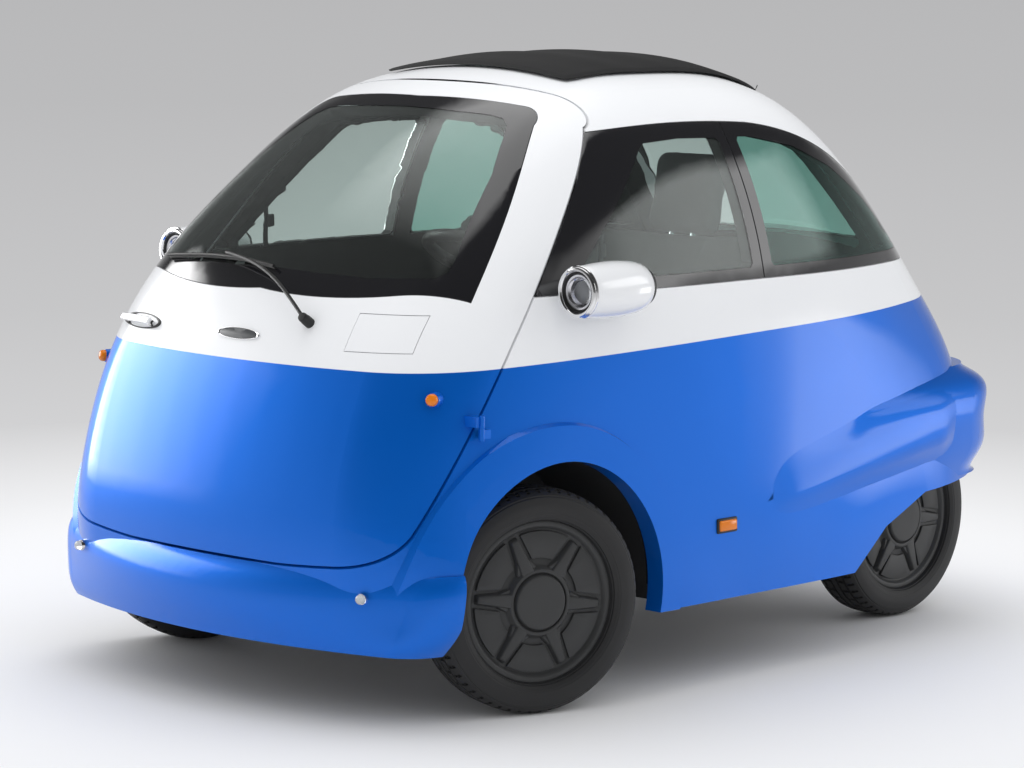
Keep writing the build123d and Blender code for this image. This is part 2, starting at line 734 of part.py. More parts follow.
wheels = {}
for place, side, front in (
    ("front_left", 1, True), ("front_right", -1, True), ("rear_left", 1, False), ("rear_right", -1, False),
):
    plane = wheel_place(side, front)
    wheels["tyre_" + place] = revolved(plane, tyre_profile)
    wheels["wheel_" + place] = spoked_wheel(plane)

# ---------------------------------------------------------------- axles and knuckles
knuckles = {}
for place, side in (("left", 1), ("right", -1)):
    plane = wheel_place(side, True)
    with BuildPart() as knuckle:
        with BuildSketch(plane):
            Circle(SPINDLE_RADIUS)
        extrude(amount=SPINDLE_REACH)
        with BuildSketch(plane.offset(-14)):
            Circle(34)
        extrude(amount=-50)
        with BuildSketch(plane.offset(-14)):
            Circle(SPINDLE_RADIUS)
        extrude(amount=20)
        with Locations((side * KINGPIN_X, FRONT_AXLE_Y, 265)):
            Cylinder(16, 210)
        with Locations((side * KINGPIN_X, FRONT_AXLE_Y, 265)):
            Cylinder(10, 270)
    knuckles["knuckle_" + place] = knuckle.part

with BuildPart() as front_axle:
    for side in (-1, 1):
        for height in (145, 385):
            with Locations((side * (KINGPIN_X - 90), FRONT_AXLE_Y, height)):
                Box(200, 34, 22)
            with Locations((side * KINGPIN_X, FRONT_AXLE_Y, height)):
                Cylinder(24, 22)
                Cylinder(10 + RUNNING_GAP, 40, mode=Mode.SUBTRACT)
    with Locations((0, FRONT_AXLE_Y, 168)):
        Box(768, 120, 68)
    for side in (-1, 1):
        with Locations((side * 369, FRONT_AXLE_Y, 270)):
            Box(30, 60, 260)

with BuildPart() as rear_axle:
    with Locations(Location((0, REAR_AXLE_Y, TYRE_RADIUS), (0, 90, 0))):
        Cylinder(SPINDLE_RADIUS, 2 * (REAR_WHEEL_X + SPINDLE_REACH))
        Cylinder(32, 2 * (REAR_WHEEL_X - 80))
    for side in (-1, 1):
        with Locations((side * 290, (448 + REAR_AXLE_Y) / 2, TYRE_RADIUS)):
            Box(50, REAR_AXLE_Y - 448, 60)

# ---------------------------------------------------------------- written parts
body_left = body_side.part
with BuildPart() as far_side:
    mirror(body_left, about=Plane.YZ)
with BuildPart() as far_window:
    mirror(side_panes[0], about=Plane.YZ)
with BuildPart() as far_pod:
    mirror(pod.part, about=Plane.YZ)

PARTS = {
    "body_left": body_left,
    "body_right": far_side.part,
    "roof_frame": roof_frame.part,
    "front_bumper": front_bumper.part,
    "rear_bumper": rear_bumper.part,
    "canvas_roof": canvas_roof.part,
    "side_window_left": side_panes[0],
    "side_window_right": far_window.part,
    "quarter_windows": mirrored_pair(side_panes[1]),
    "pod_left": pod.part,
    "pod_right": far_pod.part,
    "pod_lamps": mirrored_pair(lens.part),
    "mirror_glasses": mirrored_pair(mirror_glass.part),
    "side_markers": side_markers,
    "bumper_lamps": bumper_lamps,
    "floor_pan": floor_pan.part,
    "wheel_liners": wheel_liners,
    "motor_block": motor_block.part,
    "battery_block": battery_block.part,
    "seat_cushion": seat_cushion.part,
    "seat_back": seat_back.part,
    "steering_column": steering_column.part,
    "steering_wheel": steering_wheel.part,
    "tail_lamps": tail_lamps.part,
    "number_plate": number_plate.part,
    "front_axle": front_axle.part,
    "rear_axle": rear_axle.part,
    "front_door": front_door.part,
    "windshield": windshield.part,
    "dashboard": dashboard.part,
    "wiper": wiper.part,
    "door_handle": door_handle.part,
    "door_indicators": door_indicators,
    "door_hinge_pin": door_hinge_pin.part,
    "tailgate_hinge_pins": tailgate_hinge_pins.part,
    "charge_flap": charge_flap.part,
    "tailgate": tailgate.part,
    "rear_window": rear_window.part,
}
PARTS.update(wheels)
PARTS.update(knuckles)
for name, part in PARTS.items():
    part.label = name
    export_step(part, "parts/" + name + ".step")
    print(name, [round(solid.volume / 1e6, 4) for solid in part.solids()], part.is_valid)
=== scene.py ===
"""Bubble microcar with a front door: finishes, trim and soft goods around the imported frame."""

import json
import math

import bmesh
import bpy
from mathutils import Matrix, Vector
from mathutils.bvhtree import BVHTree

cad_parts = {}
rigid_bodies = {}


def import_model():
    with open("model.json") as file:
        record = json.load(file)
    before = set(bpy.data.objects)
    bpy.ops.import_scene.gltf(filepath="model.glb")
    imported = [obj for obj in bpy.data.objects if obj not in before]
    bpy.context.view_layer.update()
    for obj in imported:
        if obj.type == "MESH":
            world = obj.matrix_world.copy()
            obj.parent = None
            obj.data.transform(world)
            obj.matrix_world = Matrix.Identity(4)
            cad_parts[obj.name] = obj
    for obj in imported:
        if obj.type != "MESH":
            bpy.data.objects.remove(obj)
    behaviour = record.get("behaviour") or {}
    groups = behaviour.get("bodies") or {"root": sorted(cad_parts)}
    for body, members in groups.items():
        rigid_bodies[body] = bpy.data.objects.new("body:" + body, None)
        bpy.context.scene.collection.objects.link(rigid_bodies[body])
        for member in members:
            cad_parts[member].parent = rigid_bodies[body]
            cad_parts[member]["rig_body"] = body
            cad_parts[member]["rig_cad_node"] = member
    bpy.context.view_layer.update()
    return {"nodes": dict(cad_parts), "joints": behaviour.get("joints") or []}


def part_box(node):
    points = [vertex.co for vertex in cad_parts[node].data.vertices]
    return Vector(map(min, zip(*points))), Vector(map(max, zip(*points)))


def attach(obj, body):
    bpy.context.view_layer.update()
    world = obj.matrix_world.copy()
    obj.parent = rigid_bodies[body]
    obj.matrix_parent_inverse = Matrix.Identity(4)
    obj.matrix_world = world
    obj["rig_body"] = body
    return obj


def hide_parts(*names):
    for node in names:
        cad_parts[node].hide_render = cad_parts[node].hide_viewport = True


bl_info = {
    "name": "Bubble Microcar",
    "version": (1, 0, 0),
    "blender": (4, 5, 0),
    "location": "3D View > Sidebar > Microcar",
    "description": "Dresses the microcar's frame with paint, glass, wheels, trim and seats",
    "category": "Object",
}

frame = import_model()
NODES = frame["nodes"]


# ------------------------------------------------------------------ settings
class PaintSettings(bpy.types.PropertyGroup):
    """Colours of the body."""

    upper: bpy.props.FloatVectorProperty(
        name="Upper colour", description="Paint above the waist line", subtype="COLOR",
        size=3, min=0, max=1, default=(0.84, 0.85, 0.87),
    )
    lower: bpy.props.FloatVectorProperty(
        name="Lower colour", description="Paint below the waist line", subtype="COLOR",
        size=3, min=0, max=1, default=(0.001, 0.14, 0.66),
    )
    waist: bpy.props.FloatProperty(
        name="Waist line", description="Height where the two colours meet, at the middle of the car",
        default=0.829, unit="LENGTH",
    )
    waist_rise: bpy.props.FloatProperty(
        name="Waist rise", description="Rise of the waist line for each metre towards the tail",
        default=0.03,
    )


class StageSettings(bpy.types.PropertyGroup):
    """Floor, lamps and camera."""

    floor_shade: bpy.props.FloatProperty(
        name="Floor shade", description="How pale the floor looks", default=0.83, min=0, max=1,
    )
    surround: bpy.props.FloatProperty(
        name="Surround", description="Level of the soft light from all round", default=1.1, min=0, max=2,
    )
    lens: bpy.props.FloatProperty(
        name="Lens", description="Focal length on a 36 mm sensor", default=126.8, subtype="DISTANCE_CAMERA",
    )


# ------------------------------------------------------------------ materials
class Nodes:
    """A node tree with short calls to add and join nodes."""

    def __init__(self, tree):
        self.tree = tree

    def node(self, kind, **values):
        made = self.tree.nodes.new(kind)
        for key, value in values.items():
            setattr(made, key, value)
        return made

    def join(self, source, target):
        self.tree.links.new(source, target)

    def math(self, operation, *values):
        made = self.node("ShaderNodeMath", operation=operation)
        for slot, value in zip(made.inputs, values):
            if hasattr(value, "is_output"):
                self.join(value, slot)
            else:
                slot.default_value = value
        return made.outputs[0]

    def mix(self, factor, first, second):
        made = self.node("ShaderNodeMix", data_type="RGBA")
        for slot, value in ((made.inputs[0], factor), (made.inputs[6], first), (made.inputs[7], second)):
            if hasattr(value, "is_output"):
                self.join(value, slot)
            elif slot is made.inputs[0]:
                slot.default_value = value
            else:
                slot.default_value = (*value, 1)
        return made.outputs[2]

    def ramp(self, value, low, high):
        made = self.node("ShaderNodeMapRange", clamp=True)
        self.join(value, made.inputs[0])
        made.inputs[1].default_value = low
        made.inputs[2].default_value = high
        return made.outputs[0]

    def place(self):
        """The three Object coordinates."""
        coords = self.node("ShaderNodeTexCoord")
        split = self.node("ShaderNodeSeparateXYZ")
        self.join(coords.outputs["Object"], split.inputs[0])
        return split.outputs[0], split.outputs[1], split.outputs[2]

    def group(self, tree, **values):
        made = self.node("ShaderNodeGroup")
        made.node_tree = tree
        for key, value in values.items():
            made.inputs[key.replace("_", " ")].default_value = value
        return made


class Shader(Nodes):
    """A material with one Principled BSDF, its plain values set by name."""

    def __init__(self, name, **inputs):
        self.material = bpy.data.materials.new(name)
        self.material.use_nodes = True
        super().__init__(self.material.node_tree)
        self.bsdf = self.tree.nodes["Principled BSDF"]
        for socket, value in inputs.items():
            self.bsdf.inputs[socket.replace("_", " ")].default_value = value

    def bump(self, height, strength, distance):
        made = self.node("ShaderNodeBump")
        made.inputs["Strength"].default_value = strength
        made.inputs["Distance"].default_value = distance
        self.join(height, made.inputs["Height"])
        self.join(made.outputs[0], self.bsdf.inputs["Normal"])


def new_group(name, inputs, outputs):
    """An empty node group with float inputs and outputs; returns its tree, input and output nodes."""
    tree = bpy.data.node_groups.new(name, "ShaderNodeTree")
    for label, default in inputs:
        socket = tree.interface.new_socket(label, in_out="INPUT", socket_type="NodeSocketFloat")
        socket.default_value = default
    for label in outputs:
        tree.interface.new_socket(label, in_out="OUTPUT", socket_type="NodeSocketFloat")
    return tree, tree.nodes.new("NodeGroupInput"), tree.nodes.new("NodeGroupOutput")


GRAIN_DEPTH = 0.0004


def grain_group():
    """Fine moulded grain: a height and a roughness that wander over the surface."""
    values = (("Scale", 400.0), ("Roughness", 0.5), ("Spread", 0.1))
    tree, given, out = new_group("moulded_grain", values, ("Height", "Roughness"))
    grain = Nodes(tree)
    coords = grain.node("ShaderNodeTexCoord")
    fine, broad = (grain.node("ShaderNodeTexNoise") for _ in range(2))
    fine.inputs["Detail"].default_value = 2
    broad.inputs["Scale"].default_value = 9
    for noise in (fine, broad):
        grain.join(coords.outputs["Object"], noise.inputs["Vector"])
    grain.join(given.outputs["Scale"], fine.inputs["Scale"])
    centred = grain.math("SUBTRACT", broad.outputs["Fac"], 0.5)
    spread = grain.math("MULTIPLY_ADD", centred, given.outputs["Spread"], given.outputs["Roughness"])
    grain.join(fine.outputs["Fac"], out.inputs["Height"])
    grain.join(spread, out.inputs["Roughness"])
    return tree


def moulded(name, colour, grain, roughness, spread=0.12, scale=500.0, strength=0.25, **inputs):
    """A moulded plastic, rubber or satin paint with its own grain."""
    shader = Shader(name, Base_Color=(*colour, 1), **inputs)
    surface = shader.group(grain, Scale=scale, Roughness=roughness, Spread=spread)
    shader.join(surface.outputs["Roughness"], shader.bsdf.inputs["Roughness"])
    shader.bump(surface.outputs["Height"], strength, GRAIN_DEPTH)
    return shader.material


# the trim inside, the middle of the car that it faces, and how much the length counts in that
TRIM_COLOUR, TRIM_ROUGHNESS = (0.022, 0.022, 0.024), 0.65
MIDDLE_HEIGHT, LENGTH_SHARE = 0.75, 0.45


def two_tone_paint(paint, grain):
    """Gloss paint in two colours outside, dark grained trim where a surface faces the cabin."""
    shader = Shader("two_tone_paint", Coat_Roughness=0.02, Coat_IOR=1.3, Specular_IOR_Level=0.1)
    across, along, height = shader.place()
    waist = shader.math("MULTIPLY_ADD", along, paint.waist_rise, paint.waist)
    above = shader.ramp(shader.math("SUBTRACT", height, waist), -0.0006, 0.0006)
    colour = shader.mix(above, tuple(paint.lower), tuple(paint.upper))
    # a surface faces the cabin where its normal points back at the middle of the car
    coords = shader.node("ShaderNodeTexCoord")
    outwards = shader.node("ShaderNodeCombineXYZ")
    shader.join(across, outwards.inputs[0])
    shader.join(shader.math("MULTIPLY", along, LENGTH_SHARE), outwards.inputs[1])
    shader.join(shader.math("SUBTRACT", height, MIDDLE_HEIGHT), outwards.inputs[2])
    unit = shader.node("ShaderNodeVectorMath", operation="NORMALIZE")
    shader.join(outwards.outputs[0], unit.inputs[0])
    facing = shader.node("ShaderNodeVectorMath", operation="DOT_PRODUCT")
    shader.join(coords.outputs["Normal"], facing.inputs[0])
    shader.join(unit.outputs[0], facing.inputs[1])
    outside = shader.ramp(facing.outputs["Value"], -0.64, -0.6)
    shader.join(shader.mix(outside, TRIM_COLOUR, colour), shader.bsdf.inputs["Base Color"])
    # the lower colour is a fine metallic under clear coat, the upper one a plain gloss
    flake = shader.math("SUBTRACT", 1.0, above)
    lively = shader.math("MULTIPLY", shader.math("MULTIPLY", flake, outside), 0.5)
    shader.join(lively, shader.bsdf.inputs["Metallic"])
    surface = shader.group(grain, Scale=60.0, Roughness=0.3, Spread=0.04)
    matt = shader.math("ADD", surface.outputs["Roughness"], shader.math("MULTIPLY", flake, 0.14))
    dull = shader.math("SUBTRACT", TRIM_ROUGHNESS, shader.math("MULTIPLY", outside, TRIM_ROUGHNESS))
    shader.join(shader.math("MAXIMUM", dull, matt), shader.bsdf.inputs["Roughness"])
    clear = shader.math("SUBTRACT", 1.0, shader.math("MULTIPLY", above, 0.5))
    shader.join(shader.math("MULTIPLY", outside, clear), shader.bsdf.inputs["Coat Weight"])
    return shader.material


# values shared by clear glass, metal and coated finishes
CLEAR = {"spread": 0.0, "strength": 0.0, "Transmission_Weight": 1.0}
METAL = {"strength": 0.0, "Metallic": 1.0}
COAT = {"strength": 0.0, "Coat_Weight": 1.0}


def make_materials():
    paint = bpy.context.scene.microcar_paint
    grain = grain_group()
    rows = (
        # key, name, colour, roughness, other values
        ("plastic", "black_plastic", (0.018, 0.018, 0.019), 0.45, {}),
        ("cover", "wheel_cover_plastic", (0.032, 0.033, 0.034), 0.52, {"scale": 700.0}),
        ("rubber", "tyre_rubber", (0.016, 0.016, 0.017), 0.62, {"scale": 900.0}),
        ("steel", "black_steel", (0.02, 0.02, 0.021), 0.35, {}),
        ("canvas", "roof_canvas", (0.012, 0.012, 0.013), 0.8, {"scale": 1500.0}),
        ("seat_cloth", "seat_cloth", (0.1, 0.1, 0.105), 0.85, {"scale": 1200.0}),
        ("chrome", "chrome", (0.82, 0.82, 0.83), 0.07, {"spread": 0.05, **METAL}),
        ("plate", "blank_plate", (0.7, 0.7, 0.68), 0.35, {}),
        ("amber", "amber_lens", (0.75, 0.2, 0.01), 0.12, {"strength": 0.02}),
        ("red", "red_lens", (0.4, 0.008, 0.008), 0.12, {"strength": 0.02}),
        ("clear", "clear_lens", (0.8, 0.82, 0.83), 0.05, {"strength": 0.02, "Transmission_Weight": 0.6}),
        ("mirror", "mirror_glass", (0.85, 0.86, 0.88), 0.02, {"spread": 0.0, **METAL}),
        ("pod_paint", "pod_paint", paint.upper, 0.22, {"spread": 0.04, "Coat_Roughness": 0.02, **COAT}),
        ("oval_grey", "oval_grey", (0.05, 0.053, 0.058), 0.35, {"spread": 0.1}),
        ("frit", "gloss_border", (0.01, 0.01, 0.012), 0.1, {"spread": 0.03, "Coat_Roughness": 0.01, **COAT}),
        ("rubber_seal", "rubber_seal", (0.01, 0.01, 0.01), 0.55, {"scale": 900.0}),
        ("satin_metal", "satin_metal", (0.7, 0.7, 0.73), 0.22, {"spread": 0.06, **METAL}),
        ("lens_glass", "lens_glass", (0.93, 0.95, 0.97), 0.01, {"IOR": 1.45, **CLEAR}),
        ("screen_glass", "screen_glass", (0.86, 0.94, 0.91), 0.0, {"IOR": 1.45, **CLEAR}),
        ("side_glass", "side_glass", (0.8, 0.9, 0.87), 0.0, {"IOR": 1.45, **CLEAR}),
        ("quarter_glass", "quarter_glass", (0.3, 0.6, 0.52), 0.0, {"IOR": 1.45, **CLEAR}),
        ("glass", "tinted_glass", (0.62, 0.78, 0.72), 0.0, {"IOR": 1.05, **CLEAR}),
    )
    made = {"paint": two_tone_paint(paint, grain)}
    for key, name, colour, roughness, values in rows:
        made[key] = moulded(name, colour, grain, roughness, **values)
    return made


MATERIALS = {}
TREES = {}
SIDES = (("left", 1), ("right", -1))
CORNERS = ("front_left", "front_right", "rear_left", "rear_right")

NODE_FINISH = (
    # node names, finish
    (("body_left", "body_right", "roof_frame", "front_bumper", "rear_bumper", "front_door", "tailgate",
      "pod_left", "pod_right", "charge_flap"), "paint"),
    (("windshield", "side_window_left", "side_window_right", "quarter_windows", "rear_window"), "glass"),
    (("pod_lamps", "bumper_lamps"), "clear"),
    (("mirror_glasses",), "mirror"),
    (("side_markers", "door_indicators"), "amber"),
    (("tail_lamps",), "red"),
    (("floor_pan", "wheel_liners", "motor_block", "battery_block", "steering_column", "steering_wheel",
      "dashboard", "wiper"), "plastic"),
    (("front_axle", "rear_axle", "knuckle_left", "knuckle_right", "tailgate_hinge_pins"), "steel"),
    (("door_hinge_pin",), "paint"),
    (("seat_cushion", "seat_back"), "seat_cloth"),
    (("canvas_roof",), "canvas"),
    (("number_plate",), "plate"),
    (("door_handle",), "chrome"),
    (tuple("tyre_" + corner for corner in CORNERS), "rubber"),
    (tuple("wheel_" + corner for corner in CORNERS), "cover"),
)


# ------------------------------------------------------------------ modelling by hand, in code
def alone(piece=None):
    """Select one piece only, or nothing, in object mode."""
    if bpy.context.mode != "OBJECT":
        bpy.ops.object.mode_set(mode="OBJECT")
    bpy.ops.object.select_all(action="DESELECT")
    if piece:
        piece.select_set(True)
        bpy.context.view_layer.objects.active = piece
    return piece


def settle(piece, name, body, finish):
    """Freeze a piece's place into its mesh, name it, and give it its body, slot and material."""
    alone(piece)
    bpy.ops.object.transform_apply(location=True, rotation=True, scale=True)
    piece.name = name
    piece.data.name = name
    piece.data.materials.clear()
    piece.data.materials.append(MATERIALS[finish])
    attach(piece, body)
    return piece


def edit(piece, action="DESELECT"):
    """Open a piece for editing with nothing selected, or with all of it."""
    alone(piece)
    bpy.ops.object.mode_set(mode="EDIT")
    bpy.ops.mesh.select_all(action=action)


def discard(*pieces):
    for piece in pieces:
        bpy.data.objects.remove(piece)


def pick(piece, test, kind="FACE"):
    """Select the faces or vertices of the piece in edit mode that pass the test."""
    mesh = bmesh.from_edit_mesh(piece.data)
    bpy.ops.mesh.select_all(action="DESELECT")
    bpy.ops.mesh.select_mode(type=kind)
    for part in (mesh.faces if kind == "FACE" else mesh.verts):
        part.select_set(bool(test(part)))
    mesh.select_flush_mode()
    bmesh.update_edit_mesh(piece.data)


def object_mode():
    bpy.ops.object.mode_set(mode="OBJECT")
    return bpy.context.object


def start_point(place):
    """One vertex at a place, in edit mode: a plane primitive merged to its middle."""
    alone()
    bpy.ops.mesh.primitive_plane_add(size=0.01)
    bpy.ops.object.mode_set(mode="EDIT")
    bpy.ops.mesh.select_mode(type="VERT")
    bpy.ops.mesh.select_all(action="SELECT")
    bpy.ops.mesh.merge(type="CENTER")
    bpy.ops.transform.translate(value=place)
    return bpy.context.object


def trace(points):
    """A line of vertices through the points, left open in edit mode."""
    piece = start_point(points[0])
    for before, after in zip(points, points[1:]):
        step = Vector(after) - Vector(before)
        bpy.ops.mesh.extrude_region_move(TRANSFORM_OT_translate={"value": step})
    return piece


def lathe(profile, steps):
    """Turn a profile of (distance along the axle, radius) about the X axis."""
    piece = trace([(along, 0, radius) for along, radius in profile])
    bpy.ops.mesh.select_all(action="SELECT")
    bpy.ops.mesh.spin(steps=steps, angle=2 * math.pi, center=(0, 0, 0), axis=(1, 0, 0))
    bpy.ops.mesh.select_all(action="SELECT")
    bpy.ops.mesh.remove_doubles(threshold=0.00002)
    bpy.ops.mesh.normals_make_consistent(inside=False)
    return object_mode()


def panel(outline, depth):
    """A flat face through the outline points, pushed out by the depth vector."""
    piece = trace(outline)
    bpy.ops.mesh.select_all(action="SELECT")
    bpy.ops.mesh.edge_face_add()
    bpy.ops.mesh.extrude_region_move(TRANSFORM_OT_translate={"value": depth})
    bpy.ops.mesh.select_all(action="SELECT")
    bpy.ops.mesh.normals_make_consistent(inside=False)
    return object_mode()


def join(pieces):
    alone()
    for piece in pieces:
        piece.select_set(True)
    bpy.context.view_layer.objects.active = pieces[0]
    bpy.ops.object.join()
    return bpy.context.object


def copy_of(piece):
    """A copy with its own mesh."""
    made = piece.copy()
    made.data = piece.data.copy()
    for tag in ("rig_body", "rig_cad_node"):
        if tag in made:
            del made[tag]
    made.parent = None
    bpy.context.scene.collection.objects.link(made)
    return made


def merged_copy(node):
    """A copy of a frame node with its loose triangles joined."""
    made = copy_of(NODES[node])
    edit(made, "SELECT")
    bpy.ops.mesh.remove_doubles(threshold=0.00005)
    return object_mode()


def finish_with(piece, kind, **values):
    """Add one modifier and apply it."""
    alone(piece)
    modifier = piece.modifiers.new(kind.lower(), kind)
    for key, value in values.items():
        setattr(modifier, key, value)
    bpy.ops.object.modifier_apply(modifier=modifier.name)
    return piece


def boolean(piece, operation, cutter):
    """Cut a piece by a closed shape, or keep only what is inside it."""
    return finish_with(piece, "BOOLEAN", operation=operation, solver="EXACT", object=cutter)


def bevelled(piece, width, segments=2, angle=40):
    return finish_with(piece, "BEVEL", width=width, segments=segments, limit_method="ANGLE",
                       angle_limit=math.radians(angle))


def smooth(piece, angle=35):
    alone(piece)
    bpy.ops.object.shade_smooth_by_angle(angle=math.radians(angle))
    return piece


def search_tree(mesh):
    places = [vertex.co for vertex in mesh.vertices]
    return BVHTree.FromPolygons(places, [tuple(face.vertices) for face in mesh.polygons])


def tree_of(node):
    """The search tree of a frame node's surface, made once."""
    if node not in TREES:
        TREES[node] = search_tree(NODES[node].data)
    return TREES[node]


def skin(node, origin, direction):
    """Where a straight line first meets a frame node, and the skin's outward direction there."""
    way = Vector(direction).normalized()
    place, normal, _, _ = tree_of(node).ray_cast(Vector(origin), way)
    if place is None:
        raise RuntimeError("nothing of " + node + " lies that way")
    return place, normal if normal.dot(way) < 0 else -normal


def face_along(piece, place, normal, up=(0, 0, 1)):
    """Turn a piece made facing +X, with +Z up, to face along a direction at a place."""
    forward = Vector(normal).normalized()
    side = Vector(up).cross(forward).normalized()
    basis = Matrix((forward, side, forward.cross(side))).transposed()
    piece.matrix_world = Matrix.Translation(place) @ basis.to_4x4()
    return piece


def cube(place, size):
    """A plain box, with its place in its mesh."""
    alone()
    bpy.ops.mesh.primitive_cube_add(size=1, location=place, scale=size)
    bpy.ops.object.transform_apply(location=True, rotation=True, scale=True)
    return bpy.context.object


def block(place, size, bevel, segments=3):
    """A box with rounded edges."""
    return bevelled(cube(place, size), bevel, segments, 30)


def tube(points, radius, steps=16):
    """A round bar along a smooth line through the points, made a mesh."""
    alone()
    bpy.ops.curve.primitive_nurbs_path_add()
    piece = bpy.context.object
    line = piece.data
    line.splines.clear()
    spline = line.splines.new("NURBS")
    spline.points.add(len(points) - 1)
    for point, place in zip(spline.points, points):
        point.co = (*place, 1)
    spline.order_u = 3
    spline.use_endpoint_u = True
    spline.resolution_u = 8
    line.bevel_depth = radius
    line.bevel_resolution = steps // 4
    line.use_fill_caps = True
    bpy.ops.object.convert(target="MESH")
    return bpy.context.object


def oval(width, height, profile, steps=48):
    """A flat oval facing +X, raised by a profile of (height above its base, share of the radius)."""
    piece = lathe(profile, steps)
    edit(piece, "SELECT")
    bpy.ops.transform.resize(value=(1, width / 2, height / 2), center_override=(0, 0, 0))
    return object_mode()


def turn(piece, angle, axis="X", centre=(0, 0, 0)):
    """Turn a piece's mesh about an axis through the centre."""
    edit(piece, "SELECT")
    bpy.ops.transform.rotate(value=-angle, orient_axis=axis, center_override=centre)
    return object_mode()


# ------------------------------------------------------------------ operators
class MICROCAR_OT_finishes(bpy.types.Operator):
    """Give every solid of the frame its finish"""

    bl_idname = "microcar.finishes"
    bl_label = "Frame finishes"

    def execute(self, context):
        MATERIALS.update(make_materials())
        for names, finish in NODE_FINISH:
            for name in names:
                NODES[name].data.materials.clear()
                NODES[name].data.materials.append(MATERIALS[finish])
        return {"FINISHED"}


# profiles of (distance outwards from the tyre's middle, radius), metres
COVER_PROFILE = (
    (0.03, 0.18), (0.04, 0.189), (0.0505, 0.1885), (0.0525, 0.186), (0.0525, 0.1775), (0.05, 0.174),
    (0.043, 0.17), (0.042, 0.166), (0.0435, 0.12), (0.044, 0.09), (0.046, 0.085),
    (0.058, 0.078), (0.06, 0.076), (0.06, 0.07), (0.0585, 0.0685), (0.054, 0.0675),
    (0.054, 0.0655), (0.062, 0.0635), (0.065, 0.061), (0.0655, 0.058), (0.065, 0.03), (0.065, 0.0),
)
PLATE_PROFILE = ((0.04, 0.101), (0.0495, 0.101), (0.049, 0.164), (0.04, 0.164), (0.04, 0.101))
TYRE_STEPS = 180
TYRE_PROFILE = (
    (-0.055, 0.176), (-0.066, 0.182), (-0.07, 0.2), (-0.0705, 0.222), (-0.066, 0.24), (-0.057, 0.253),
    (-0.05, 0.258), (-0.037, 0.2606), (-0.0362, 0.255), (-0.0318, 0.255), (-0.031, 0.2612),
    (-0.013, 0.262), (-0.0122, 0.256), (-0.0078, 0.256), (-0.007, 0.262),
    (0.007, 0.262), (0.0078, 0.256), (0.0122, 0.256), (0.013, 0.262),
    (0.031, 0.2612), (0.0318, 0.255), (0.0362, 0.255), (0.037, 0.2606),
    (0.05, 0.258), (0.057, 0.253), (0.0625, 0.248), (0.0632, 0.245), (0.066, 0.243), (0.07, 0.23),
    (0.0706, 0.22), (0.07, 0.208), (0.069, 0.2065), (0.069, 0.204), (0.068, 0.202), (0.064, 0.194),
    (0.06, 0.1925), (0.0595, 0.1905), (0.056, 0.1895), (0.05, 0.187), (0.03, 0.176), (-0.055, 0.176),
)


def narrowed(piece, height, share):
    """Narrow the outer end of a bar of the cover, above a height, to a share of its width."""
    edit(piece)
    pick(piece, lambda v: v.co.z > height, "VERT")
    bpy.ops.transform.resize(value=(1, share, 1))


def make_cover():
    """The wheel cover, facing +X: a dished disc, raised plates, six tapering spokes and a round cap."""
    disc = smooth(bevelled(lathe(COVER_PROFILE, 96), 0.0008, 1, 25), 30)
    plates = lathe(PLATE_PROFILE, 96)
    spokes, gussets = [], []
    for number in range(6):
        angle = math.radians(60 * number + 24)
        spoke = cube((0.048, 0, 0.119), (0.024, 0.05, 0.092))
        narrowed(spoke, 0.12, 0.52)
        pick(spoke, lambda v: v.co.x > 0.05 and v.co.z > 0.12, "VERT")
        bpy.ops.transform.translate(value=(-0.0055, 0, -0.007))
        pick(spoke, lambda v: v.co.x > 0.05, "VERT")
        bpy.ops.transform.resize(value=(1, 0.62, 1))
        object_mode()
        spokes.append(turn(bevelled(spoke, 0.0035, 3, 20), angle))
        gusset = cube((0.044, 0, 0.092), (0.02, 0.07, 0.04))
        narrowed(gusset, 0.09, 0.55)
        pick(gusset, lambda v: v.co.x > 0.045, "VERT")
        bpy.ops.transform.resize(value=(1, 0.75, 0.7))
        object_mode()
        gussets.append(turn(bevelled(gusset, 0.003, 2, 20), angle))
        gap = block((0.045, 0, 0.135), (0.03, 0.052, 0.1), 0.0005, 1)
        narrowed(gap, 0.135, 0.7)
        object_mode()
        boolean(plates, "DIFFERENCE", turn(gap, angle))
        discard(gap)
    bevelled(plates, 0.0022, 2, 30)
    return smooth(join([disc, plates, *spokes, *gussets]), 30)


def make_tyre():
    """The tyre, facing +X: grooved tread with cut shoulders and a ribbed sidewall."""
    tyre = lathe(TYRE_PROFILE, TYRE_STEPS)
    edit(tyre)
    segment = 2 * math.pi / TYRE_STEPS

    def cut_shoulder(face):
        middle = face.calc_center_median()
        radius = math.hypot(middle.y, middle.z)
        number = int((math.atan2(middle.z, middle.y) + math.pi) / segment)
        outer = 0.037 < abs(middle.x) < 0.058 and radius > 0.2545
        inner = 0.013 < abs(middle.x) < 0.031 and radius > 0.2608
        return (outer and number % 3 == 0) or (inner and number % 4 == 1)

    pick(tyre, cut_shoulder)
    bpy.ops.mesh.inset(thickness=0.0016, depth=-0.0045, use_individual=True)
    return smooth(object_mode(), 28)


def stand_on_axle(piece, joint):
    """Move a wheel piece made at the origin, facing +X, to its axle, facing outwards."""
    place = Vector(joint["pos_m"])
    outwards = Vector(joint["axis"]).normalized()
    if outwards.x * place.x < 0:
        outwards.negate()
    swing = math.atan2(outwards.y, outwards.x)
    piece.rotation_euler = (0, 0, swing)
    piece.location = place
    return piece


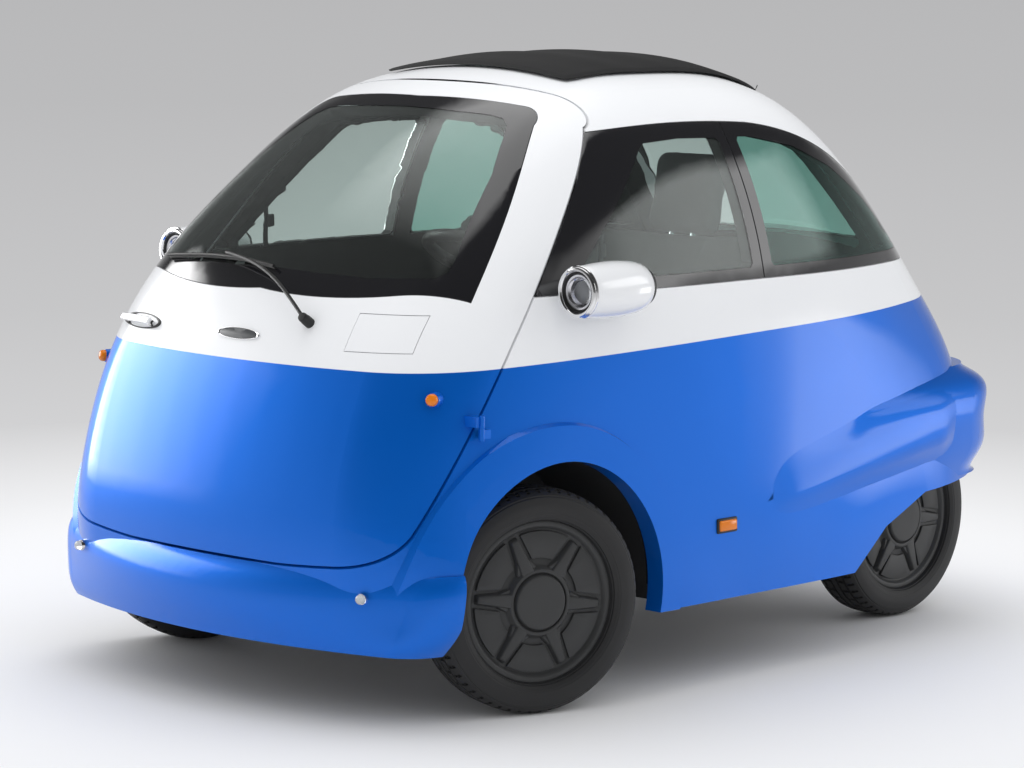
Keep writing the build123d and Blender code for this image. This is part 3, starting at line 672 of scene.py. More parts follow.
class MICROCAR_OT_wheels(bpy.types.Operator):
    """Model one wheel cover and one tyre and put a copy of each on every axle"""

    bl_idname = "microcar.wheels"
    bl_label = "Wheels"

    def execute(self, context):
        cover, tyre = make_cover(), make_tyre()
        joints = {joint["name"]: joint for joint in frame["joints"]}
        for corner in CORNERS:
            body = "wheel_" + corner
            joint = joints["spin_" + corner]
            disc, rubber = (stand_on_axle(copy_of(master), joint) for master in (cover, tyre))
            settle(disc, "cover_" + corner, body, "cover")
            settle(rubber, "rubber_" + corner, body, "rubber")
            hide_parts("tyre_" + corner)
            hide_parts("wheel_" + corner)
        discard(cover, tyre)
        return {"FINISHED"}


# ------------------------------------------------------------------ glazing
# reach over which a pane's lie is averaged, width of the rear border, depth of a reveal and its gap
CURVE_REACH = 0.022
REAR_BORDER = 0.046
REVEAL_DEPTH, REVEAL_GAP = 0.032, 0.0008
SCREEN_ORIGIN = Vector((0, -0.735, 1.168))
SCREEN_NORMAL = Vector((0, -0.644, 0.765)).normalized()
SCREEN_UP = SCREEN_NORMAL.cross(Vector((1, 0, 0)))
# the clear glass of the windshield, half of it, as (across, up the screen)
SCREEN_CLEAR = (
    (0.15, 0.293), (0.262, 0.3), (0.3, 0.296), (0.328, 0.274), (0.35, 0.232), (0.402, 0.11),
    (0.44, -0.04), (0.47, -0.15), (0.474, -0.19), (0.456, -0.22), (0.42, -0.236), (0.3, -0.266),
    (0.15, -0.278),
)
# the clear glass of a side window and of a quarter window, as (along the car, height)
SIDE_CLEAR = (
    (-0.262, 1.276), (-0.244, 1.286), (-0.12, 1.293), (0.02, 1.29), (0.028, 1.282), (0.026, 0.994),
    (0.016, 0.984), (-0.548, 0.984), (-0.556, 0.996),
)
QUARTER_CLEAR = (
    (0.104, 1.29), (0.15, 1.289), (0.3, 1.262), (0.45, 1.204), (0.6, 1.112), (0.7, 1.03),
    (0.738, 0.994), (0.728, 0.984), (0.104, 0.984), (0.096, 0.992), (0.096, 1.282),
)


def screen_point(across, up):
    return SCREEN_ORIGIN + Vector((across, 0, 0)) + up * SCREEN_UP


CUT_BELOW, CUT_ABOVE = 0.25, 0.3  # how far the screen's cutter reaches either side of it


def screen_cutter():
    right = [screen_point(across, up) for across, up in SCREEN_CLEAR]
    left = [screen_point(-across, up) for across, up in reversed(SCREEN_CLEAR)]
    outline = [point - CUT_BELOW * SCREEN_NORMAL for point in right + left]
    return panel(outline, (CUT_BELOW + CUT_ABOVE) * SCREEN_NORMAL)


def along_line(points, where):
    """Value at a place of a line given as (place, value)."""
    for (start, low), (end, high) in zip(points, points[1:]):
        if where <= end:
            return low + (high - low) * max(0.0, where - start) / (end - start)
    return points[-1][1]


def stretched(line):
    """The outer envelope of a line of (along, reach), as a string pulled tight over it."""
    tight = []
    for spot in line:
        while len(tight) > 1 and ((tight[-1][1] - tight[-2][1]) * (spot[0] - tight[-2][0])
                                  <= (spot[1] - tight[-2][1]) * (tight[-1][0] - tight[-2][0])):
            tight.pop()
        tight.append(spot)
    return tight


def rear_cutter():
    """The clear part of the rear window: the outline of its pane, drawn in by the width of the border."""
    pane = NODES["rear_window"].data
    spots = sorted({(round(vertex.co.x, 3), round(vertex.co.z, 3)) for vertex in pane.vertices})
    over = stretched(spots)
    under = [(across, -down) for across, down in stretched([(across, -height) for across, height in spots])]
    low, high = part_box("rear_window")
    middle = (low[2] + high[2]) / 2
    wide, tall = (1 - REAR_BORDER / ((high[axis] - low[axis]) / 2) for axis in (0, 2))
    outline = [(across * wide, 0.4, middle + (height - middle) * tall)
               for across, height in over + under[-2:0:-1]]
    return panel(outline, (0, 1.2, 0))


def side_cutter(clear):
    return panel([(-0.9, along, height) for along, height in clear], (1.8, 0, 0))


def grown(cutter, factor):
    """A copy of a cutter, larger about its own middle across the direction that it cuts in."""
    larger = copy_of(cutter)
    corners = [vertex.co for vertex in larger.data.vertices]
    middle = sum(corners, Vector()) / len(corners)
    edit(larger, "SELECT")
    bpy.ops.transform.resize(value=(factor, factor, factor), center_override=middle)
    return object_mode()


def glaze(node, body, cutter, glass_finish, inwards, label):
    """Split a pane into its clear glass, its opaque border and the dark reveal behind the border."""
    clear = boolean(merged_copy(node), "INTERSECT", cutter)
    border = boolean(merged_copy(node), "DIFFERENCE", cutter)
    larger = grown(cutter, 1.014)
    reveal = boolean(copy_of(border), "INTERSECT", larger)
    discard(larger)
    edit(reveal)
    pick(reveal, lambda face: face.normal.dot(inwards(face)) > 0.6)
    mesh = bmesh.from_edit_mesh(reveal.data)
    chosen = {vertex for face in mesh.faces if face.select for vertex in face.verts}
    for vertex in mesh.verts:
        vertex.co += (REVEAL_DEPTH if vertex in chosen else REVEAL_GAP) * inwards(vertex)
    bmesh.update_edit_mesh(reveal.data)
    object_mode()
    true_curve(clear, node)
    true_curve(border, node)
    smooth(reveal, 40)
    settle(clear, label + "_glass", body, glass_finish)
    settle(border, label + "_border", body, "frit")
    settle(reveal, label + "_reveal", body, "rubber_seal")
    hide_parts(node)
    discard(cutter)


def towards_cabin(part):
    """Level direction from a side pane into the car."""
    place = part.calc_center_median() if hasattr(part, "calc_center_median") else part.co
    return Vector((-math.copysign(1, place.x), 0, 0))


def true_curve(piece, node):
    """Shade a cut pane with the lie of the whole pane around each corner, not with its own thin triangles."""
    smooth(piece, 40)
    whole = merged_copy(node)
    source = whole.data
    tree = search_tree(source)
    areas = [face.area for face in source.polygons]
    shaded = [corner.vector.copy() for corner in piece.data.corner_normals]
    for face in piece.data.polygons:
        for corner in face.loop_indices:
            spot = piece.data.vertices[piece.data.loops[corner].vertex_index].co
            lie = Vector()
            for _, normal, number, distance in tree.find_nearest_range(spot, CURVE_REACH):
                if normal.dot(face.normal) > 0.5:
                    lie += normal * areas[number] * (1 - distance / CURVE_REACH) ** 2
            if lie.length > 0:
                shaded[corner] = lie.normalized()
    piece.data.normals_split_custom_set(shaded)
    discard(whole)
    return piece


class MICROCAR_OT_glazing(bpy.types.Operator):
    """Split every pane into clear glass, a gloss border and its reveal"""

    bl_idname = "microcar.glazing"
    bl_label = "Glazing"

    def execute(self, context):
        forwards, down = (lambda part: Vector((0, -1, 0))), (lambda part: -SCREEN_NORMAL)
        quarter = side_cutter(QUARTER_CLEAR)
        panes = (
            # node, body, cutter, glass, way into the cabin, label
            ("windshield", "front_door", screen_cutter(), "screen_glass", down, "screen"),
            ("side_window_left", "body", side_cutter(SIDE_CLEAR), "side_glass", towards_cabin, "side_left"),
            ("side_window_right", "body", side_cutter(SIDE_CLEAR), "side_glass", towards_cabin, "side_right"),
            ("quarter_windows", "body", quarter, "quarter_glass", towards_cabin, "quarter"),
            ("rear_window", "tailgate", rear_cutter(), "side_glass", forwards, "rear"),
        )
        for row in panes:
            glaze(*row)
        return {"FINISHED"}


# ------------------------------------------------------------------ lamp pods
# a pod's place along the car and half the width of its lens
POD_ALONG, POD_HALF_LENS = -0.56, 0.057
# profiles of (distance forwards along the pod, radius), metres
POD_SHELL = (
    (-0.12, 0.0), (-0.12, 0.044), (-0.117, 0.048), (-0.104, 0.056), (-0.08, 0.0615), (-0.04, 0.065),
    (0.0, 0.0655), (0.04, 0.0635), (0.07, 0.0605), (0.09, 0.0575), (0.093, 0.056), (0.093, 0.048),
    (0.05, 0.044), (0.05, 0.0),
)
POD_RING = (
    (0.088, 0.052), (0.088, 0.06), (0.091, 0.061), (0.0935, 0.06), (0.0945, 0.058), (0.0965, 0.0582),
    (0.099, 0.0572), (0.101, 0.054), (0.1005, 0.05), (0.097, 0.047), (0.09, 0.0455), (0.088, 0.052),
)
POD_GASKET = ((0.09, 0.04), (0.09, 0.0468), (0.094, 0.0462), (0.095, 0.044), (0.092, 0.042), (0.09, 0.04))
POD_BEZEL = (
    (0.06, 0.026), (0.078, 0.03), (0.083, 0.031), (0.085, 0.0335), (0.0885, 0.0355), (0.0895, 0.04),
    (0.091, 0.043), (0.085, 0.044), (0.06, 0.043), (0.06, 0.026),
)
POD_LENS = (
    (0.062, 0.0), (0.062, 0.029), (0.07, 0.0285), (0.078, 0.0245), (0.083, 0.017), (0.085, 0.009),
    (0.0855, 0.0),
)
POD_MIRROR = ((-0.1245, 0.0), (-0.1245, 0.04), (-0.1235, 0.0415), (-0.119, 0.042), (-0.119, 0.0))
POD_RIM = (
    (-0.119, 0.0425), (-0.125, 0.0425), (-0.1265, 0.044), (-0.125, 0.046), (-0.119, 0.047), (-0.119, 0.0425),
)


class MICROCAR_OT_pods(bpy.types.Operator):
    """Turn the pods: shell, chrome ring, bezel, projector lens and rear mirror"""

    bl_idname = "microcar.pods"
    bl_label = "Lamp pods"

    def execute(self, context):
        lens_low, lens_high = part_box("pod_lamps")
        centre = Vector((lens_high[0] - POD_HALF_LENS, POD_ALONG, (lens_low[2] + lens_high[2]) / 2))
        pieces = (
            # label, profile, slot, finish, smooth angle
            ("shell", POD_SHELL, "paint", "pod_paint", 40),
            ("ring", POD_RING, "chrome", "chrome", 40),
            ("gasket", POD_GASKET, "black_plastic", "rubber_seal", 40),
            ("bezel", POD_BEZEL, "chrome", "satin_metal", 30),
            ("lens", POD_LENS, "clear_lens", "lens_glass", 50),
            ("mirror", POD_MIRROR, "mirror", "mirror", 20),
            ("rim", POD_RIM, "black_plastic", "plastic", 30),
        )
        for side, sign in SIDES:
            for label, profile, slot, finish, angle in pieces:
                piece = smooth(lathe(profile, 72), angle)
                piece.rotation_euler = (0, 0, -math.pi / 2)
                piece.location = (sign * centre.x, centre.y, centre.z)
                settle(piece, "pod_" + side + "_" + label, "body", finish)
            arm = cube((sign * 0.63, -0.545, 0.955), (0.1, 0.07, 0.046))
            edit(arm)
            pick(arm, lambda v: abs(v.co.x) > 0.64, "VERT")
            bpy.ops.transform.resize(value=(1, 0.8, 0.75))
            object_mode()
            bevelled(arm, 0.012, 4, 30)
            settle(smooth(arm, 60), "pod_" + side + "_arm", "body", "pod_paint")
            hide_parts("pod_" + side)
        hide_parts("pod_lamps")
        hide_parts("mirror_glasses")
        return {"FINISHED"}


# ------------------------------------------------------------------ fittings on the door and body
LAMP_HOUSING = (
    (-0.03, 0.0), (-0.03, 0.017), (-0.004, 0.019), (0.004, 0.0165), (0.012, 0.016), (0.014, 0.015),
    (0.014, 0.0),
)
LAMP_LENS = (
    (0.01, 0.0), (0.01, 0.014), (0.02, 0.014), (0.025, 0.0125), (0.028, 0.009), (0.029, 0.0045),
    (0.0292, 0.0),
)
PIVOT = (
    (-0.02, 0.0), (-0.02, 0.0125), (0.018, 0.0125), (0.022, 0.0118), (0.032, 0.0112), (0.035, 0.01),
    (0.036, 0.0),
)
DOOR_LAMP = Vector((0.56, -1.3, 0.743))
BUMPER_LAMP = Vector((0.486, -1.4, 0.301))
DOOR_LAMP_AIM, BUMPER_LAMP_AIM = (0.42, -0.9, 0.08), (0.3, -0.95, 0.02)
LAMP_SUNK = 0.003
# a place ahead of the car, and the way from there towards its tail
AHEAD, REARWARDS = -1.4, Vector((0, 1, 0))
# places on the door as (across, height)
HANDLE_PLACE, OVAL_PLACE = (-0.386, 0.848), (0, 0.851)
# across, height and rise above the skin along the wiper's arm; across and height along its blade
WIPER_ARM = (
    (0.205, 0.889, 0.03), (0.165, 0.914, 0.034), (0.06, 0.967, 0.034), (-0.06, 0.999, 0.03),
    (-0.16, 1.01, 0.02),
)
WIPER_BLADE = ((-0.405, 0.99), (-0.3, 1.0), (-0.18, 1.006), (-0.06, 1.004), (0.02, 0.996))
SCREEN_FOOT = 0.955
# profiles of (height above the skin, share of the radius)
CUP = (
    (-0.012, 0.0), (-0.012, 1.0), (0.0015, 1.0), (0.0025, 0.97), (0.002, 0.9), (-0.003, 0.8), (-0.006, 0.0),
)
OVAL_RIM = (
    (-0.004, 0.9), (0.0022, 0.9), (0.003, 0.93), (0.003, 0.98), (0.002, 1.0), (-0.004, 1.0), (-0.004, 0.9),
)
OVAL_FIELD = ((-0.004, 0.0), (-0.004, 1.0), (0.0018, 1.0), (0.0022, 0.97), (0.0026, 0.0))


class MICROCAR_OT_lamps(bpy.types.Operator):
    """Indicators on the door, lamps in the bumper and markers on the sides"""

    bl_idname = "microcar.lamps"
    bl_label = "Small lamps"

    def execute(self, context):
        pairs = (
            # node, body, carrier, start, size, aim, housing finish, lens finish
            ("door_indicators", "front_door", "front_door", DOOR_LAMP, 1.0, DOOR_LAMP_AIM, "paint", "amber"),
            ("bumper_lamps", "body", "front_bumper", BUMPER_LAMP, 0.82, BUMPER_LAMP_AIM, "chrome", "clear"),
        )
        for node, body, carrier, start, size, aim, collar, finish in pairs:
            first, slot = None, finish + "_lens"
            for side, sign in SIDES:
                place, _ = skin(carrier, (sign * start.x, start.y, start.z), REARWARDS)
                forward = Vector((sign * aim[0], aim[1], aim[2]))
                housing = smooth(lathe(LAMP_HOUSING, 40), 30)
                lens = smooth(lathe(LAMP_LENS, 40), 50)
                for piece, name, look, group in (
                    (housing, "_housing_", collar, "paint"), (lens, "_lens_", finish, slot),
                ):
                    piece.scale = (size, size, size)
                    alone(piece)
                    bpy.ops.object.transform_apply(location=False, rotation=False, scale=True)
                    face_along(piece, place - LAMP_SUNK * forward.normalized(), forward)
                    settle(piece, node + name + side, body, look)
                first = first or lens
            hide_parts(node)
        first = None
        for side, sign in SIDES:
            place, normal = skin("body_" + side, (sign * 0.9, -0.116, 0.377), (-sign, 0, 0))
            bezel = face_along(block((0.001, 0, 0), (0.008, 0.072, 0.036), 0.0035), place, normal)
            lens = face_along(block((0.004, 0, 0), (0.01, 0.062, 0.026), 0.0045, 4), place, normal)
            settle(smooth(bezel), "marker_bezel_" + side, "body", "plastic")
            settle(smooth(lens, 50), "marker_lens_" + side, "body", "amber")
            first = first or lens
        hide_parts("side_markers")
        return {"FINISHED"}


def on_door(piece, name, finish, angle=50):
    return settle(smooth(piece, angle), name, "front_door", finish)


def seen_ahead(node, across, height):
    """Where a level line from ahead of the car meets a frame node, and the skin's direction there."""
    return skin(node, (across, AHEAD, height), REARWARDS)


class MICROCAR_OT_door_fittings(bpy.types.Operator):
    """Wiper, door handle and a bare oval plate on the door"""

    bl_idname = "microcar.door_fittings"
    bl_label = "Door fittings"

    def execute(self, context):
        self.wiper()
        self.handle()
        self.oval_plate()
        return {"FINISHED"}

    def wiper(self):
        """Pivot, arm, blade and the spine that carries it."""
        place, normal = seen_ahead("front_door", *WIPER_ARM[0][:2])
        pivot = face_along(smooth(lathe(PIVOT, 40), 30), place, normal)
        settle(pivot, "wiper_pivot", "front_door", "rubber_seal")
        line = []
        for across, height, proud in WIPER_ARM:
            node = "windshield" if height > SCREEN_FOOT else "front_door"
            spot, out = seen_ahead(node, across, height)
            line.append(spot + proud * out)
        arm = on_door(tube(line, 0.0045, 16), "wiper_arm", "rubber_seal")
        spots = [seen_ahead("windshield", across, height) for across, height in WIPER_BLADE]
        for name, proud, radius in (("wiper_blade", 0.005, 0.0035), ("wiper_spine", 0.013, 0.0042)):
            bar = tube([spot + proud * out for spot, out in spots], radius, 8)
            on_door(bar, name, "rubber_seal")
        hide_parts("wiper")

    def handle(self):
        """A dark cup with a bright bar across it."""
        place, normal = seen_ahead("front_door", *HANDLE_PLACE)
        cup = face_along(oval(0.176, 0.04, CUP), place, normal)
        on_door(cup, "handle_cup", "plastic", 40)
        bar = face_along(block((0.018, 0, -0.004), (0.01, 0.136, 0.019), 0.0045, 4), place, normal)
        bar = on_door(bar, "handle_bar", "pod_paint")
        for across, end in ((-0.054, "far"), (0.054, "near")):
            foot = face_along(block((0.006, across, -0.004), (0.022, 0.014, 0.014), 0.003), place, normal)
            on_door(foot, "handle_foot_" + end, "chrome")
        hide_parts("door_handle")

    def oval_plate(self):
        """A bare oval plate with a fine bright rim."""
        place, normal = seen_ahead("front_door", *OVAL_PLACE)
        rim, field = oval(0.144, 0.03, OVAL_RIM, 72), oval(0.132, 0.0275, OVAL_FIELD, 72)
        on_door(face_along(rim, place, normal), "oval_rim", "chrome", 40)
        on_door(face_along(field, place, normal), "oval_plate", "oval_grey", 40)


# creases of the raised hip as (along the car, height): where it leaves the side, and its lower edge
HIP_TOP = ((0.04, 0.54), (0.301, 0.577), (0.457, 0.605), (0.643, 0.631), (0.826, 0.646))
HIP_EDGE = ((0.04, 0.404), (0.228, 0.427), (0.423, 0.456), (0.648, 0.484), (0.773, 0.5), (0.823, 0.513))
HIP_RISE = ((0.04, -0.001), (0.15, 0.004), (0.4, 0.011), (0.65, 0.014), (0.76, 0.013), (0.815, 0.001))
# height of the turn back under the lower edge, and the share of the sheet that it takes
HIP_DROP, HIP_FOLD = 0.055, 0.35
HIP_START, HIP_END = 0.04, 0.815
HIP_COLUMNS, HIP_ROWS = 40, 12


def flank_reach(sign, along, height):
    """Distance of the outermost skin of the flank from the middle plane."""
    reach = 0.0
    for node in ("body_left" if sign > 0 else "body_right", "rear_bumper"):
        place, _, _, _ = tree_of(node).ray_cast(Vector((sign * 0.95, along, height)), Vector((-sign, 0, 0)))
        if place is not None and abs(place.x) > 0.4:
            reach = max(reach, abs(place.x))
    return reach


def hip_wing(side, sign):
    """A raised fold on the rear flank: out from its top crease, and back in under its lower edge."""
    alone()
    bpy.ops.mesh.primitive_grid_add(x_subdivisions=HIP_COLUMNS, y_subdivisions=HIP_ROWS, size=2)
    wing = bpy.context.object
    rows = {}
    for vertex in wing.data.vertices:
        rows.setdefault(round(vertex.co.y, 4), []).append(vertex)
    for level, row in rows.items():
        share = (level + 1) / 2
        row.sort(key=lambda vertex: vertex.co.x)
        places, line = [], []
        for vertex in row:
            along = HIP_START + (HIP_END - HIP_START) * (vertex.co.x + 1) / 2
            top, edge = along_line(HIP_TOP, along), along_line(HIP_EDGE, along)
            if share > HIP_FOLD:
                height = top + (edge - top) * (1 - share) / (1 - HIP_FOLD)
            else:
                height = edge - HIP_DROP * (HIP_FOLD - share) / HIP_FOLD
            places.append((along, height, flank_reach(sign, along, height)))
            line.append((along, places[-1][2]))
        tight = stretched(line)
        full = min(1.0, 1.6 * (1 - share) / (1 - HIP_FOLD)) if share > HIP_FOLD else share / HIP_FOLD
        proud = (1 - share) / (1 - HIP_FOLD) if share > HIP_FOLD else (share / HIP_FOLD) ** 1.4
        for vertex, (along, height, reach) in zip(row, places):
            pulled = full * (along_line(tight, along) - reach) + proud * along_line(HIP_RISE, along)
            vertex.co = (sign * (reach + max(pulled, 0.0) - 0.0012 * (1 - full)), along, height)
    edit(wing, "SELECT")
    bpy.ops.mesh.normals_make_consistent(inside=False)
    object_mode()
    finish_with(wing, "SOLIDIFY", thickness=0.004, offset=-1)
    return settle(smooth(wing, 24), "hip_wing_" + side, "body", "paint")


class MICROCAR_OT_flanks(bpy.types.Operator):
    """Raise the folds on the rear flanks"""

    bl_idname = "microcar.flanks"
    bl_label = "Flanks"

    def execute(self, context):
        for side, sign in SIDES:
            hip_wing(side, sign)
        return {"FINISHED"}


# ------------------------------------------------------------------ cabin
RIM_RADIUS, RIM_BAR = 0.168, 0.0145
RIM_TUBE = tuple(
    (RIM_BAR * math.sin(math.radians(angle)), RIM_RADIUS + RIM_BAR * math.cos(math.radians(angle)))
    for angle in range(0, 361, 24)
)
HUB_PAD = (
    (-0.03, 0.0), (-0.03, 0.03), (-0.006, 0.036), (0.0, 0.06), (0.01, 0.066), (0.02, 0.062), (0.026, 0.045),
    (0.028, 0.0),
)


class MICROCAR_OT_cabin(bpy.types.Operator):
    """Steering wheel, instrument hood and window catches"""

    bl_idname = "microcar.cabin"
    bl_label = "Cabin"

    def execute(self, context):
        joints = {joint["name"]: joint for joint in frame["joints"]}
        turn_joint = joints["steering_wheel_turn"]
        axis, hub = Vector(turn_joint["axis"]).normalized(), Vector(turn_joint["pos_m"])
        rim = smooth(lathe(RIM_TUBE, 72), 60)
        pad = smooth(lathe(HUB_PAD, 40), 40)
        spokes = []
        for angle in (math.radians(0), math.radians(180), math.radians(270)):
            spoke = block((-0.002, 0, 0.11), (0.012, 0.03, 0.116), 0.004)
            spokes.append(turn(spoke, angle + math.pi / 2))
        wheel = join([rim, pad, *spokes])
        face_along(wheel, hub + 0.018 * axis, axis, up=(0, -1, 0.2))
        settle(wheel, "steering_rim", "steering_wheel", "plastic")
        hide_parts("steering_wheel")
        hood = block((0.285, -0.775, 0.905), (0.3, 0.15, 0.07), 0.026, 5)
        settle(smooth(hood, 60), "instrument_hood", "front_door", "plastic")
        for side, sign in SIDES:
            strip = block((sign * 0.574, -0.452, 1.035), (0.008, 0.013, 0.1), 0.003)
            grip = block((sign * 0.568, -0.44, 1.046), (0.014, 0.018, 0.034), 0.005)
            settle(smooth(join([strip, grip])), "window_catch_" + side, "body", "plastic")
        return {"FINISHED"}


CUSHION_PRESSURE, CUSHION_FRAMES = 4, 20
CHANNEL_WIDTH, CHANNEL_DEPTH = 0.006, 0.012
CHANNELS = (-0.36, -0.18, 0.0, 0.18, 0.36)
SEAT_TILT = math.radians(-12)


def cushion(place, size, tilt, crown, name, channels=()):
    """A padded form: a rounded block blown up by a cloth simulation, with sewn channels pressed in."""
    shape = block((0, 0, 0), size, min(size) * 0.32, 3)
    finish_with(shape, "REMESH", mode="VOXEL", voxel_size=0.014)
    base = [vertex.co.copy() for vertex in shape.data.vertices]
    cloth = shape.modifiers.new("cloth", "CLOTH")
    cloth.settings.use_pressure = True
    cloth.settings.uniform_pressure_force = CUSHION_PRESSURE
    cloth.settings.effector_weights.gravity = 0
    cloth.settings.quality = 4
    cloth.point_cache.frame_start = 1
    cloth.point_cache.frame_end = CUSHION_FRAMES
    for number in range(1, CUSHION_FRAMES + 1):
        bpy.context.scene.frame_set(number)
    alone(shape)
    bpy.ops.object.modifier_apply(modifier=cloth.name)
    bpy.context.scene.frame_set(1)
    for vertex, start in zip(shape.data.vertices, base):
        step = vertex.co - start
        if step.length > crown:
            step = step.normalized() * crown
        vertex.co = start + step
    for vertex in shape.data.vertices:
        for across, along, pressed, half_length in channels:
            gap = vertex.co.x - across
            if -half_length < vertex.co[along] < half_length:
                press = CHANNEL_DEPTH * math.exp(-((gap / CHANNEL_WIDTH) ** 2))
                vertex.co[pressed] -= math.copysign(press, vertex.co[pressed])
    shape.rotation_euler = (tilt, 0, 0)
    shape.location = place
    settle(smooth(shape, 60), name, "body", "seat_cloth")
    finish_with(shape, "SUBSURF", levels=1, render_levels=1)
    return shape


class MICROCAR_OT_seats(bpy.types.Operator):
    """Padded bench cushion, bench back and two head rests"""

    bl_idname = "microcar.seats"
    bl_label = "Seats"

    def execute(self, context):
        # a channel: its place across, the axes it runs along and is pressed in along, half its length
        level = [(across, 1, 2, 0.19) for across in CHANNELS]
        upright = [(across, 2, 1, 0.2) for across in CHANNELS]
        seat = cushion((0, -0.14, 0.49), (1.03, 0.44, 0.12), 0, 0.014, "bench_cushion", level)
        back = cushion((0, 0.16, 0.815), (1.01, 0.092, 0.46), SEAT_TILT, 0.014, "bench_back", upright)
        for side, sign in SIDES:
            cushion((sign * 0.25, 0.232, 1.13), (0.21, 0.066, 0.2), SEAT_TILT, 0.01, "head_rest_" + side)
        for across in (-0.285, -0.215, 0.215, 0.285):
            post = tube(((across, 0.205, 1.0), (across, 0.214, 1.06)), 0.006, 12)
            name = "rest_post_" + str(int(1000 + across * 1000))
            settle(smooth(post, 50), name, "body", "satin_metal")
        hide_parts("seat_cushion")
        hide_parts("seat_back")
        return {"FINISHED"}


# ------------------------------------------------------------------ cloth roof
# width of the hem, and height of the swell and of the bows' ripple in it
ROOF_HEM, ROOF_SWELL, ROOF_RIPPLE = 0.006, 0.006, 0.002


class MICROCAR_OT_roof(bpy.types.Operator):
    """The stretched cloth roof with its bound edge"""

    bl_idname = "microcar.roof"
    bl_label = "Cloth roof"

    def execute(self, context):
        low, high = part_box("canvas_roof")
        roof = tree_of("canvas_roof")
        half_width, middle, half_length = high[0], (low[1] + high[1]) / 2, (high[1] - low[1]) / 2
        alone()
        bpy.ops.mesh.primitive_grid_add(x_subdivisions=64, y_subdivisions=80, size=2)
        cloth = context.object
        edit(cloth, "SELECT")
        size = (half_width - ROOF_HEM, half_length - ROOF_HEM, 1)
        bpy.ops.transform.resize(value=size, center_override=(0, 0, 0))
        bpy.ops.transform.translate(value=(0, middle, 0))
        object_mode()
        for vertex in cloth.data.vertices:
            across = vertex.co.x / half_width
            along = (vertex.co.y - middle) / half_length
            # rounded corners: squeeze the outermost rows of the grid in
            pull = max(0.0, abs(across) - 0.84) * max(0.0, abs(along) - 0.86) * 9
            vertex.co.x *= 1 - 0.12 * pull
            vertex.co.y = middle + (vertex.co.y - middle) * (1 - 0.1 * pull)
            place, _, _, _ = roof.ray_cast(Vector((vertex.co.x, vertex.co.y, 2)), Vector((0, 0, -1)))
            place = place or roof.find_nearest(Vector((vertex.co.x, vertex.co.y, high[2])))[0]
            edge = max(abs(across), abs(along))
            bows = ROOF_RIPPLE * math.cos(4 * math.pi * along)
            swell = (ROOF_SWELL + bows) * (1 - abs(across) ** 4) * (1 - abs(along) ** 6)
            vertex.co.z = place.z + swell - 0.004 * (edge > 0.97)
        finish_with(cloth, "SOLIDIFY", thickness=0.003, offset=-1)
        settle(smooth(cloth, 50), "roof_cloth", "body", "canvas")
        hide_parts("canvas_roof")
        return {"FINISHED"}


FLOOR_SIZE = 4000
CAMERA_PLACE = (6.19, -6.64, 1.79)
CAMERA_ANGLES = (43.61, 7.21, 0.53)  # round the car from its nose, above the floor, and roll
FLOOR_PAINTED_FALLOFF = (
    # distance from the middle in metres, painted shade seen by the camera: a painted light falloff, paler
    # near the car, darker further out
    (1.0, 0.81), (2.0, 0.8), (2.6, 0.7), (8.0, 0.57), (28.0, 0.5), (100.0, 0.48),
)
LAMPS = (
    # name, place, aim, width, height, power, shares of the width where it rises and falls, reflections only
    ("overhead_softbox", (-0.6, 0.2, 4.5), (0, 0.0, 0.6), 4.0, 4.0, 70, 0.3, 0.3, False),
    ("door_softbox", (-3.9, -2.6, 1.75), (-0.1, -1.0, 0.8), 4.2, 3.2, 430, 0.12, 0.85, True),
    ("hip_softbox", (2.15, 3.1, 0.52), (0.69, 0.4, 0.55), 1.9, 0.95, 20, 0.15, 0.6, True),
    ("window_softbox", (3.9, 3.7, 2.9), (0.6, 0.0, 1.15), 4.4, 2.4, 60, 0.2, 0.2, True),
)
LAMP_EDGE = 0.12  # share of a lamp's height over which it rises at either end
BACKDROP = (0.475, 0.475, 0.482, 1)
LENS_SIDE = (0.69, -0.72, 0.0)
FAR_SIDE = (-0.45, 0.45, 0.77)


def studio_floor_material(shade):
    """Lit floor around the car, and further out a glow with a painted light falloff that darkens with
    distance into the backdrop's shade.
    """
    shader = Shader("studio_floor", Roughness=0.75, Specular_IOR_Level=0.2)
    shader.bsdf.inputs["Base Color"].default_value = (shade, shade, shade * 1.01, 1)
    across, along, _ = shader.place()
    distance = shader.math("POWER", shader.math(
        "ADD", shader.math("MULTIPLY", across, across), shader.math("MULTIPLY", along, along)), 0.5)
    # painted light falloff: the far floor's glow is paler near the car and darker with distance, as if lit by
    # the lamps
    spread = shader.node("ShaderNodeValToRGB")
    shader.join(shader.math("MULTIPLY", shader.math("LOGARITHM", distance, 10.0), 0.5), spread.inputs[0])
    ramp = spread.color_ramp
    for number, (metres, level) in enumerate(FLOOR_PAINTED_FALLOFF):
        place = math.log10(metres) / 2
        stop = ramp.elements[number] if number < 2 else ramp.elements.new(place)
        stop.position = place
        stop.color = (level * 0.995, level * 0.995, level * 1.01, 1)
    glow = shader.node("ShaderNodeEmission")
    shader.join(spread.outputs[0], glow.inputs["Color"])
    path = shader.node("ShaderNodeLightPath")
    seen = shader.math("MAXIMUM", path.outputs["Is Camera Ray"], path.outputs["Is Transmission Ray"])
    seen = shader.math("MAXIMUM", seen, path.outputs["Is Glossy Ray"])
    far = shader.math("MULTIPLY", shader.ramp(distance, 1.6, 4.2), seen)
    mixed = shader.node("ShaderNodeMixShader")
    shader.join(far, mixed.inputs[0])
    shader.join(shader.bsdf.outputs[0], mixed.inputs[1])
    shader.join(glow.outputs[0], mixed.inputs[2])
    shader.join(mixed.outputs[0], shader.tree.nodes["Material Output"].inputs["Surface"])
    return shader.material


